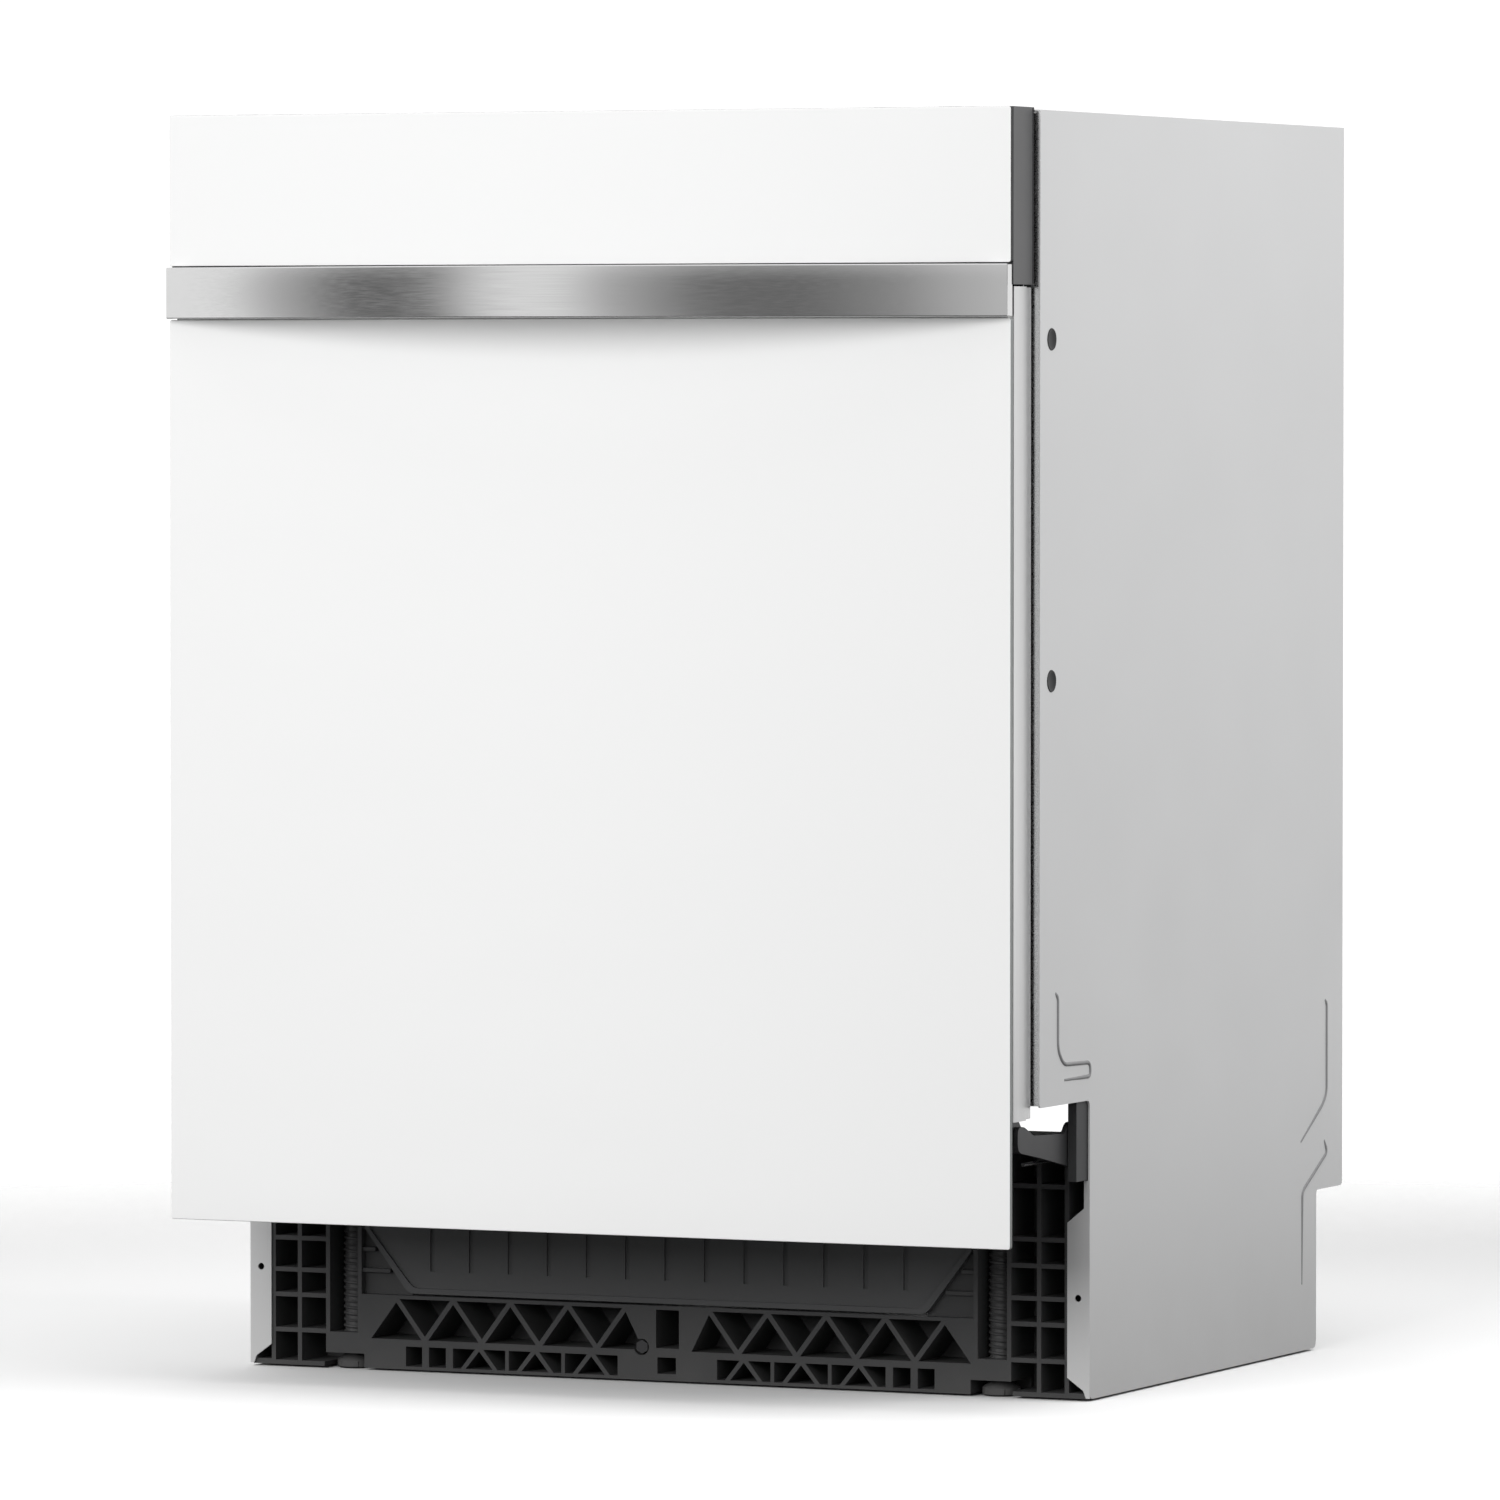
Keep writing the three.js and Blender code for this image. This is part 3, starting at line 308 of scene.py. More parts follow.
def spread(tree, value, low, high):
    """A noise value, most of which lies near a half, spread between low and high."""
    node = tree.nodes.new("ShaderNodeMapRange")
    node.inputs["From Min"].default_value = 0.3
    node.inputs["From Max"].default_value = 0.7
    link(tree, value, node.inputs["Value"])
    link(tree, low, node.inputs["To Min"])
    link(tree, high, node.inputs["To Max"])
    return node.outputs[0]


def noise(tree, point, scale, detail):
    node = tree.nodes.new("ShaderNodeTexNoise")
    node.inputs["Scale"].default_value = scale
    node.inputs["Detail"].default_value = detail
    link(tree, point, node.inputs["Vector"])
    return node.outputs["Fac"]


def build_streaks():
    """Long fine lines of a brushed or rolled sheet, along whichever way the stretch is small."""
    tree, given, put = group_tree("Streaks", [
        ("Stretch", "NodeSocketVector", (6.0, 900.0, 900.0)), ("Low", "NodeSocketFloat", 0.2),
        ("High", "NodeSocketFloat", 0.3)], [("Roughness", "NodeSocketFloat"), ("Height", "NodeSocketFloat")])
    lines = noise(tree, object_point(tree, given.outputs["Stretch"]), 1.0, 3.0)
    link(tree, spread(tree, lines, given.outputs["Low"], given.outputs["High"]), put.inputs["Roughness"])
    link(tree, lines, put.inputs["Height"])
    return tree


def build_grain():
    """The fine even grain of moulded plastic, rubber or paint, with broad soft changes of gloss."""
    tree, given, put = group_tree("Moulded grain", [
        ("Stretch", "NodeSocketVector", (1400.0, 1400.0, 1400.0)), ("Low", "NodeSocketFloat", 0.4),
        ("High", "NodeSocketFloat", 0.5)], [("Roughness", "NodeSocketFloat"), ("Height", "NodeSocketFloat")])
    fine = noise(tree, object_point(tree, given.outputs["Stretch"]), 1.0, 2.0)
    broad = noise(tree, object_point(tree), 9.0, 4.0)
    link(tree, spread(tree, broad, given.outputs["Low"], given.outputs["High"]), put.inputs["Roughness"])
    link(tree, fine, put.inputs["Height"])
    return tree


def build_mottle():
    """A colour with soft lighter and darker clouds."""
    tree, given, put = group_tree("Mottle", [
        ("Colour", "NodeSocketColor", (0.5, 0.5, 0.5, 1.0)), ("Clouds", "NodeSocketFloat", 14.0),
        ("Amount", "NodeSocketFloat", 0.06)], [("Colour", "NodeSocketColor"), ("Mask", "NodeSocketFloat")])
    clouds = tree.nodes.new("ShaderNodeTexNoise")
    clouds.inputs["Detail"].default_value = 5.0
    link(tree, object_point(tree), clouds.inputs["Vector"])
    link(tree, given.outputs["Clouds"], clouds.inputs["Scale"])
    centred = tree.nodes.new("ShaderNodeMath")
    centred.operation = "SUBTRACT"
    centred.inputs[1].default_value = 0.5
    link(tree, clouds.outputs["Fac"], centred.inputs[0])
    strength = tree.nodes.new("ShaderNodeMath")
    strength.operation = "MULTIPLY_ADD"
    strength.inputs[2].default_value = 1.0
    link(tree, centred.outputs[0], strength.inputs[0])
    link(tree, given.outputs["Amount"], strength.inputs[1])
    shaded = tree.nodes.new("ShaderNodeVectorMath")
    shaded.operation = "SCALE"
    link(tree, given.outputs["Colour"], shaded.inputs[0])
    link(tree, strength.outputs[0], shaded.inputs["Scale"])
    link(tree, shaded.outputs[0], put.inputs["Colour"])
    link(tree, clouds.outputs["Fac"], put.inputs["Mask"])
    return tree


def build_spangle():
    """The frosty flakes of zinc on galvanised sheet."""
    tree, given, put = group_tree("Zinc flakes", [
        ("Colour", "NodeSocketColor", (0.5, 0.5, 0.5, 1.0)), ("Flakes", "NodeSocketFloat", 160.0)],
        [("Colour", "NodeSocketColor"), ("Roughness", "NodeSocketFloat")])
    cells = tree.nodes.new("ShaderNodeTexVoronoi")
    link(tree, object_point(tree), cells.inputs["Vector"])
    link(tree, given.outputs["Flakes"], cells.inputs["Scale"])
    tone = tree.nodes.new("ShaderNodeSeparateColor")
    link(tree, cells.outputs["Color"], tone.inputs[0])
    level = tree.nodes.new("ShaderNodeMapRange")
    level.inputs["To Min"].default_value = 0.86
    level.inputs["To Max"].default_value = 1.08
    link(tree, tone.outputs[0], level.inputs["Value"])
    shaded = tree.nodes.new("ShaderNodeVectorMath")
    shaded.operation = "SCALE"
    link(tree, given.outputs["Colour"], shaded.inputs[0])
    link(tree, level.outputs[0], shaded.inputs["Scale"])
    gloss = tree.nodes.new("ShaderNodeMapRange")
    gloss.inputs["To Min"].default_value = 0.34
    gloss.inputs["To Max"].default_value = 0.56
    link(tree, tone.outputs[1], gloss.inputs["Value"])
    link(tree, shaded.outputs[0], put.inputs["Colour"])
    link(tree, gloss.outputs[0], put.inputs["Roughness"])
    return tree


def build_smudges():
    """Faint wiped patches on glass and gloss."""
    tree, given, put = group_tree("Wiped gloss", [
        ("Low", "NodeSocketFloat", 0.03), ("High", "NodeSocketFloat", 0.08)],
        [("Roughness", "NodeSocketFloat")])
    bend = noise(tree, object_point(tree), 3.0, 2.0)
    mixed = tree.nodes.new("ShaderNodeVectorMath")
    mixed.operation = "MULTIPLY_ADD"
    mixed.inputs[1].default_value = (5.0, 5.0, 16.0)
    link(tree, object_point(tree), mixed.inputs[0])
    link(tree, bend, mixed.inputs[2])
    wiped = noise(tree, mixed.outputs[0], 1.0, 5.0)
    link(tree, spread(tree, wiped, given.outputs["Low"], given.outputs["High"]), put.inputs["Roughness"])
    return tree


def build_dust():
    """Dust that has settled low down and in patches."""
    tree, given, put = group_tree("Settled dust", [
        ("Colour", "NodeSocketColor", (0.1, 0.1, 0.1, 1.0)), ("Amount", "NodeSocketFloat", 0.2),
        ("Top", "NodeSocketFloat", 0.16)], [("Colour", "NodeSocketColor"), ("Mask", "NodeSocketFloat")])
    place = tree.nodes.new("ShaderNodeTexCoord")
    parts = tree.nodes.new("ShaderNodeSeparateXYZ")
    link(tree, place.outputs["Object"], parts.inputs[0])
    low_down = tree.nodes.new("ShaderNodeMapRange")
    low_down.inputs["From Min"].default_value = 0.0
    low_down.inputs["To Min"].default_value = 1.0
    low_down.inputs["To Max"].default_value = 0.0
    link(tree, parts.outputs["Z"], low_down.inputs["Value"])
    link(tree, given.outputs["Top"], low_down.inputs["From Max"])
    patches = noise(tree, place.outputs["Object"], 26.0, 6.0)
    both = tree.nodes.new("ShaderNodeMath")
    both.operation = "MULTIPLY"
    link(tree, low_down.outputs[0], both.inputs[0])
    link(tree, patches, both.inputs[1])
    weight = tree.nodes.new("ShaderNodeMath")
    weight.operation = "MULTIPLY"
    link(tree, both.outputs[0], weight.inputs[0])
    link(tree, given.outputs["Amount"], weight.inputs[1])
    mixed = tree.nodes.new("ShaderNodeMix")
    mixed.data_type = "RGBA"
    link(tree, weight.outputs[0], mixed.inputs["Factor"])
    colour_in = [s for s in mixed.inputs if s.type == "RGBA"]
    colour_in[1].default_value = (0.42, 0.40, 0.37, 1.0)
    link(tree, given.outputs["Colour"], colour_in[0])
    link(tree, [s for s in mixed.outputs if s.type == "RGBA"][0], put.inputs["Colour"])
    link(tree, weight.outputs[0], put.inputs["Mask"])
    return tree


# ---- Finishes ----

FINISHES = {}
GROUPS = {}


def rgba(colour):
    return (*tuple(colour)[:3], 1.0)


class Finish:
    """One material: its shader, and the groups that feed it."""

    def __init__(self, name, metallic=0.0, ior=1.5, coat=0.0, coat_roughness=0.1, specular=0.5):
        self.material = bpy.data.materials.new(name)
        self.material.use_nodes = True
        self.tree = self.material.node_tree
        self.shader = self.tree.nodes["Principled BSDF"]
        self.shader.inputs["Metallic"].default_value = metallic
        self.shader.inputs["IOR"].default_value = ior
        self.shader.inputs["Coat Weight"].default_value = coat
        self.shader.inputs["Coat Roughness"].default_value = coat_roughness
        self.shader.inputs["Specular IOR Level"].default_value = specular
        FINISHES[name] = self.material

    def group(self, name, **values):
        node = self.tree.nodes.new("ShaderNodeGroup")
        node.node_tree = GROUPS[name]
        for label, value in values.items():
            node.inputs[label].default_value = value
        return node

    def feed(self, node, output, into):
        link(self.tree, node.outputs[output], self.shader.inputs[into])

    def mottled(self, colour, clouds=14.0, amount=0.06, dust=0.0, top=0.16):
        clouds_node = self.group("mottle", Colour=rgba(colour), Clouds=clouds, Amount=amount)
        if dust:
            dust_node = self.group("dust", Amount=dust, Top=top)
            link(self.tree, clouds_node.outputs["Colour"], dust_node.inputs["Colour"])
            clouds_node = dust_node
        self.feed(clouds_node, "Colour", "Base Color")
        return self

    def surface(self, kind, low, high, stretch, bump, depth=0.0001):
        """Roughness between low and high from streaks or grain, and a bump from the same lines."""
        node = self.group(kind, Stretch=stretch, Low=low, High=high)
        self.feed(node, "Roughness", "Roughness")
        relief = self.tree.nodes.new("ShaderNodeBump")
        relief.inputs["Strength"].default_value = bump
        relief.inputs["Distance"].default_value = depth
        link(self.tree, node.outputs["Height"], relief.inputs["Height"])
        link(self.tree, relief.outputs["Normal"], self.shader.inputs["Normal"])
        return self


def fine(scale):
    return (scale, scale, scale)


class DISHWASHER_OT_finishes(bpy.types.Operator):
    """Makes every finish and puts one on each piece of the frame"""
    bl_idname = "dishwasher.finishes"
    bl_label = "Finishes"

    def execute(self, context):
        GROUPS.update(streaks=build_streaks(), grain=build_grain(), mottle=build_mottle(),
                      spangle=build_spangle(), smudges=build_smudges(), dust=build_dust())
        tint = colours()
        glass = Finish("white_back_painted_glass", ior=1.52, coat=1.0, coat_roughness=0.02)
        glass.mottled(tint.glass, clouds=2.0, amount=0.012)
        glass.feed(glass.group("smudges", Low=0.12, High=0.2), "Roughness", "Roughness")
        Finish("ground_glass_edge", ior=1.52).mottled((0.2, 0.215, 0.212), 60.0, 0.1).surface(
            "grain", 0.3, 0.42, fine(1500.0), 0.05)
        # The side panel beads' dark colour is painted shade: it stands for the shadow in the pressed creases
        # of the sheet.
        Finish("painted_bead_shade", specular=0.3).mottled((0.27, 0.27, 0.275), 12.0, 0.1).surface(
            "grain", 0.4, 0.5, fine(1100.0), 0.05)
        Finish("brushed_handle_steel", metallic=1.0).mottled(tint.steel, 5.0, 0.05).surface(
            "streaks", 0.1, 0.16, (5.0, 1200.0, 1500.0), 0.05)
        Finish("brushed_frame_steel", metallic=1.0).mottled(tint.steel, 5.0, 0.05).surface(
            "streaks", 0.3, 0.42, (900.0, 900.0, 7.0), 0.1)
        Finish("tub_steel", metallic=1.0).mottled((0.6, 0.605, 0.61), 4.0, 0.08).surface(
            "streaks", 0.22, 0.34, (700.0, 8.0, 700.0), 0.06)
        Finish("bright_steel", metallic=1.0).mottled((0.58, 0.58, 0.585), 30.0, 0.1).surface(
            "grain", 0.18, 0.32, fine(900.0), 0.05)
        Finish("pressed_sheet", specular=0.4).mottled(tint.sheet, 3.0, 0.035, dust=0.22, top=0.12).surface(
            "grain", 0.34, 0.44, fine(1100.0), 0.07)
        zinc = Finish("zinc_plated_steel", metallic=0.85)
        flakes = zinc.group("spangle", Colour=(0.5, 0.51, 0.52, 1.0), Flakes=170.0)
        zinc.feed(flakes, "Colour", "Base Color")
        zinc.feed(flakes, "Roughness", "Roughness")
        Finish("hinge_plate_steel", metallic=0.4).mottled((0.045, 0.045, 0.047), 22.0, 0.2).surface(
            "grain", 0.34, 0.5, fine(800.0), 0.1)
        Finish("element_steel", metallic=1.0).mottled((0.36, 0.34, 0.31), 26.0, 0.35).surface(
            "grain", 0.26, 0.44, fine(900.0), 0.06)
        Finish("moulded_base", specular=0.35).mottled(tint.base, 10.0, 0.16, dust=0.1).surface(
            "grain", 0.46, 0.6, fine(1500.0), 0.16)
        Finish("scoop_plastic", specular=0.35).mottled((0.1, 0.101, 0.103), 10.0, 0.12).surface(
            "grain", 0.5, 0.62, fine(1500.0), 0.16)
        Finish("control_plastic", specular=0.4).mottled((0.078, 0.078, 0.08), 12.0, 0.08).surface(
            "grain", 0.36, 0.46, fine(1900.0), 0.1)
        Finish("pump_plastic").mottled((0.09, 0.092, 0.098), 15.0, 0.12).surface(
            "grain", 0.36, 0.5, fine(1200.0), 0.12)
        Finish("arm_plastic").mottled((0.3, 0.31, 0.325), 15.0, 0.08).surface(
            "grain", 0.3, 0.42, fine(1300.0), 0.1)
        Finish("dispenser_plastic").mottled((0.47, 0.48, 0.49), 15.0, 0.06).surface(
            "grain", 0.3, 0.42, fine(1300.0), 0.1)
        Finish("basket_plastic").mottled((0.3, 0.31, 0.32), 15.0, 0.08).surface(
            "grain", 0.36, 0.48, fine(1300.0), 0.1)
        Finish("leg_plastic").mottled((0.07, 0.07, 0.071), 25.0, 0.12, dust=0.1, top=0.04).surface(
            "grain", 0.4, 0.52, fine(1200.0), 0.12)
        Finish("key_plastic").mottled((0.05, 0.05, 0.052), 25.0, 0.1).surface(
            "grain", 0.26, 0.36, fine(1500.0), 0.06)
        Finish("pump_casting", metallic=0.6).mottled((0.3, 0.3, 0.31), 20.0, 0.2).surface(
            "grain", 0.42, 0.6, fine(500.0), 0.3)
        Finish("rack_coating", coat=0.3, coat_roughness=0.2).mottled(tint.coating, 20.0, 0.08).surface(
            "grain", 0.28, 0.38, fine(500.0), 0.1)
        Finish("black_gloss", coat=1.0, coat_roughness=0.03).mottled((0.012, 0.012, 0.014), 8.0, 0.2).surface(
            "grain", 0.08, 0.14, fine(600.0), 0.01)
        Finish("soft_rubber", specular=0.3).mottled((0.045, 0.045, 0.046), 18.0, 0.1).surface(
            "grain", 0.66, 0.76, fine(1600.0), 0.03)
        Finish("black_plug", specular=0.3).mottled((0.022, 0.022, 0.023), 18.0, 0.2).surface(
            "grain", 0.5, 0.62, fine(900.0), 0.15)
        Finish("damping_sheet", specular=0.25).mottled((0.035, 0.034, 0.033), 30.0, 0.5).surface(
            "grain", 0.75, 0.9, fine(160.0), 0.5, depth=0.0006)
        for node, finish in NODE_FINISHES.items():
            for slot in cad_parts[node].material_slots:
                slot.material = FINISHES[finish]
        return {"FINISHED"}


NODE_FINISHES = {
    "tub": "tub_steel", "tub_gasket": "soft_rubber", "top_front_brace": "zinc_plated_steel",
    "rear_brace": "zinc_plated_steel", "base_front_frame": "moulded_base", "base_pan": "moulded_base",
    "kick_scoop_cover": "scoop_plastic", "sump_housing": "pump_plastic",
    "coarse_filter_plate": "bright_steel",
    "heating_element": "element_steel", "feed_tube": "arm_plastic", "circulation_pump": "pump_casting",
    "drain_pump": "pump_plastic", "inlet_valve": "dispenser_plastic", "terminal_box": "pump_plastic",
    "door_strike": "bright_steel", "side_panel_left": "pressed_sheet", "side_panel_right": "pressed_sheet",
    "hinge_bracket_left": "hinge_plate_steel", "hinge_bracket_right": "hinge_plate_steel",
    "door_spring_left": "bright_steel", "door_spring_right": "bright_steel",
    "rail_bracket_left": "bright_steel", "rail_bracket_right": "bright_steel",
    "glass_panel_upper": "white_back_painted_glass", "glass_panel_lower": "white_back_painted_glass",
    "handle_bar": "brushed_handle_steel", "door_frame": "brushed_frame_steel", "door_liner": "tub_steel",
    "control_housing": "control_plastic", "display_window": "black_gloss",
    "detergent_dispenser": "dispenser_plastic", "latch_case": "control_plastic",
    "door_bottom_seal": "soft_rubber", "hinge_arm_left": "hinge_plate_steel",
    "hinge_arm_right": "hinge_plate_steel", "detergent_lid": "arm_plastic", "rinse_aid_cap": "arm_plastic",
    "latch_hook": "bright_steel", "power_button": "key_plastic", "start_button": "key_plastic",
    "cycle_button": "key_plastic", "cutlery_basket": "basket_plastic", "lower_rack": "rack_coating",
    "rack_wheel_front_left": "arm_plastic", "rack_wheel_rear_left": "arm_plastic",
    "rack_wheel_front_right": "arm_plastic", "rack_wheel_rear_right": "arm_plastic",
    "upper_rack": "rack_coating", "upper_track_left": "bright_steel", "upper_track_right": "bright_steel",
    "lower_spray_arm": "arm_plastic", "upper_spray_arm": "arm_plastic", "top_spray_arm": "arm_plastic",
    "fine_filter": "arm_plastic", "overfill_float": "arm_plastic", "levelling_leg_left": "leg_plastic",
    "levelling_leg_right": "leg_plastic", "rear_leg": "leg_plastic", "rear_leg_shaft": "key_plastic",
}


# ---- Geometry node trees ----

def geometry_tree(name, inputs):
    """A tree with a geometry in and out and named inputs. Returns the tree and its two end nodes."""
    tree = bpy.data.node_groups.new(name, "GeometryNodeTree")
    tree.interface.new_socket(name="Geometry", in_out="INPUT", socket_type="NodeSocketGeometry")
    for label, kind in inputs:
        tree.interface.new_socket(name=label, in_out="INPUT", socket_type=kind)
    tree.interface.new_socket(name="Geometry", in_out="OUTPUT", socket_type="NodeSocketGeometry")
    return tree, tree.nodes.new("NodeGroupInput"), tree.nodes.new("NodeGroupOutput")


def ending(tree, given, put, geometry):
    """Realize Instances and Set Material, which every tree ends in."""
    real = tree.nodes.new("GeometryNodeRealizeInstances")
    finish = tree.nodes.new("GeometryNodeSetMaterial")
    link(tree, geometry, real.inputs[0])
    link(tree, real.outputs[0], finish.inputs["Geometry"])
    link(tree, given.outputs["Finish"], finish.inputs["Material"])
    link(tree, finish.outputs[0], put.inputs[0])


def build_repeat_tree():
    """Stands a copy of one shape on every point, its own +Z along the point's direction."""
    tree, given, put = geometry_tree("Repeat on points", [
        ("Shape", "NodeSocketObject"), ("Finish", "NodeSocketMaterial")])
    shape = tree.nodes.new("GeometryNodeObjectInfo")
    link(tree, given.outputs["Shape"], shape.inputs["Object"])
    facing = tree.nodes.new("GeometryNodeInputNamedAttribute")
    facing.data_type = "FLOAT_VECTOR"
    facing.inputs["Name"].default_value = "direction"
    turn = tree.nodes.new("FunctionNodeAlignRotationToVector")
    turn.axis = "Z"
    link(tree, facing.outputs["Attribute"], turn.inputs["Vector"])
    stand = tree.nodes.new("GeometryNodeInstanceOnPoints")
    link(tree, given.outputs["Geometry"], stand.inputs["Points"])
    link(tree, shape.outputs["Geometry"], stand.inputs["Instance"])
    link(tree, turn.outputs["Rotation"], stand.inputs["Rotation"])
    ending(tree, given, put, stand.outputs["Instances"])
    return tree


def build_wire_tree():
    """Turns chains of edges into round wire with rounded bends."""
    tree, given, put = geometry_tree("Bent wire", [
        ("Radius", "NodeSocketFloat"), ("Bend", "NodeSocketFloat"), ("Sides", "NodeSocketInt"),
        ("Finish", "NodeSocketMaterial")])
    curve = tree.nodes.new("GeometryNodeMeshToCurve")
    fillet = tree.nodes.new("GeometryNodeFilletCurve")
    if hasattr(fillet, "mode"):
        fillet.mode = "POLY"
    else:
        fillet.inputs["Mode"].default_value = "Poly"
    fillet.inputs["Count"].default_value = 4
    fillet.inputs["Limit Radius"].default_value = True
    section = tree.nodes.new("GeometryNodeCurvePrimitiveCircle")
    swept = tree.nodes.new("GeometryNodeCurveToMesh")
    swept.inputs["Fill Caps"].default_value = True
    link(tree, given.outputs["Geometry"], curve.inputs["Mesh"])
    link(tree, curve.outputs["Curve"], fillet.inputs["Curve"])
    link(tree, given.outputs["Bend"], fillet.inputs["Radius"])
    link(tree, given.outputs["Sides"], section.inputs["Resolution"])
    link(tree, given.outputs["Radius"], section.inputs["Radius"])
    link(tree, fillet.outputs["Curve"], swept.inputs["Curve"])
    link(tree, section.outputs["Curve"], swept.inputs["Profile Curve"])
    smooth = tree.nodes.new("GeometryNodeSetShadeSmooth")
    link(tree, swept.outputs["Mesh"], smooth.inputs["Geometry"])
    ending(tree, given, put, smooth.outputs[0])
    return tree


def build_coil_tree():
    """A round wire wound about +Z from the height of zero."""
    tree, given, put = geometry_tree("Wound coil", [
        ("Turns", "NodeSocketFloat"), ("Coil Radius", "NodeSocketFloat"), ("Length", "NodeSocketFloat"),
        ("Radius", "NodeSocketFloat"), ("Steps", "NodeSocketInt"), ("Sides", "NodeSocketInt"),
        ("Finish", "NodeSocketMaterial")])
    spiral = tree.nodes.new("GeometryNodeCurveSpiral")
    link(tree, given.outputs["Turns"], spiral.inputs["Rotations"])
    link(tree, given.outputs["Coil Radius"], spiral.inputs["Start Radius"])
    link(tree, given.outputs["Coil Radius"], spiral.inputs["End Radius"])
    link(tree, given.outputs["Length"], spiral.inputs["Height"])
    link(tree, given.outputs["Steps"], spiral.inputs["Resolution"])
    section = tree.nodes.new("GeometryNodeCurvePrimitiveCircle")
    link(tree, given.outputs["Sides"], section.inputs["Resolution"])
    link(tree, given.outputs["Radius"], section.inputs["Radius"])
    swept = tree.nodes.new("GeometryNodeCurveToMesh")
    swept.inputs["Fill Caps"].default_value = True
    link(tree, spiral.outputs["Curve"], swept.inputs["Curve"])
    link(tree, section.outputs["Curve"], swept.inputs["Profile Curve"])
    smooth = tree.nodes.new("GeometryNodeSetShadeSmooth")
    link(tree, swept.outputs["Mesh"], smooth.inputs["Geometry"])
    ending(tree, given, put, smooth.outputs[0])
    return tree


TREES = {}


def grown(kind, mesh, values):
    """The plain mesh that a tree makes from a starting mesh, with its inputs set by name."""
    if kind not in TREES:
        TREES[kind] = {"repeat": build_repeat_tree, "wire": build_wire_tree, "coil": build_coil_tree}[kind]()
    tree = TREES[kind]
    start = bpy.data.objects.new("start", mesh)
    bpy.context.scene.collection.objects.link(start)
    modifier = start.modifiers.new("Grow", "NODES")
    modifier.node_group = tree
    for item in tree.interface.items_tree:
        if item.in_out == "INPUT" and item.name in values:
            modifier[item.identifier] = values[item.name]
    bpy.context.view_layer.update()
    evaluated = start.evaluated_get(bpy.context.evaluated_depsgraph_get())
    made = bpy.data.meshes.new_from_object(evaluated)
    start.modifiers.clear()
    bpy.data.objects.remove(start)
    if not made.polygons:
        raise RuntimeError(f"the {kind} tree made nothing")
    return made


def chains_mesh(chains):
    """A mesh of edges only, one chain of points each. A chain that ends where it starts is closed."""
    verts, edges = [], []
    for chain in chains:
        points = [tuple(p) for p in chain]
        closed = len(points) > 2 and (Vector(points[0]) - Vector(points[-1])).length < 1e-7
        if closed:
            points = points[:-1]
        start = len(verts)
        verts += points
        edges += [(start + i, start + i + 1) for i in range(len(points) - 1)]
        if closed:
            edges.append((start + len(points) - 1, start))
    mesh = bpy.data.meshes.new("chains")
    mesh.from_pydata(verts, edges, [])
    return mesh


def wires(name, chains, radius, bend, finish, body, slot, stands_for=(), sides=8):
    mesh = grown("wire", chains_mesh(chains), {
        "Radius": radius, "Bend": bend, "Sides": sides, "Finish": FINISHES[finish]})
    return piece_with(name, mesh, finish, body, slot, stands_for, smooth=True)


def repeated(name, shape, places, finish, body, slot, smooth_angle=35):
    """One shape stood on every place, each place a point and a direction."""
    pattern_mesh = bpy.data.meshes.new("pattern")
    pattern_mesh.from_pydata([tuple(v) for v in shape.verts], [], shape.faces)
    pattern = bpy.data.objects.new("pattern", pattern_mesh)
    bpy.context.scene.collection.objects.link(pattern)
    points = bpy.data.meshes.new("points")
    points.from_pydata([tuple(point) for point, _ in places], [], [])
    facing = points.attributes.new("direction", "FLOAT_VECTOR", "POINT")
    facing.data.foreach_set("vector", [c for _, direction in places for c in Vector(direction)])
    mesh = grown("repeat", points, {"Shape": pattern, "Finish": FINISHES[finish]})
    bpy.data.objects.remove(pattern)
    piece = piece_with(name, mesh, finish, body, slot)
    return smooth_by_angle(piece, smooth_angle)


def coil_mesh(turns, coil_radius, length, radius, steps, sides, finish):
    empty = bpy.data.meshes.new("coil")
    return grown("coil", empty, {
        "Turns": float(turns), "Coil Radius": coil_radius, "Length": length, "Radius": radius,
        "Steps": steps, "Sides": sides, "Finish": FINISHES[finish]})


def joined_mesh(name, meshes):
    """One mesh out of several."""
    whole = bmesh.new()
    for mesh in meshes:
        whole.from_mesh(mesh)
    result = bpy.data.meshes.new(name)
    whole.to_mesh(result)
    whole.free()
    return result


def mesh_of(shape):
    mesh = bpy.data.meshes.new("shape")
    mesh.from_pydata([tuple(v) for v in shape.verts], [], shape.faces)
    return mesh


def middle(node):
    low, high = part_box(node)
    return [(a + b) / 2 for a, b in zip(low, high)]


# ---- Door ----

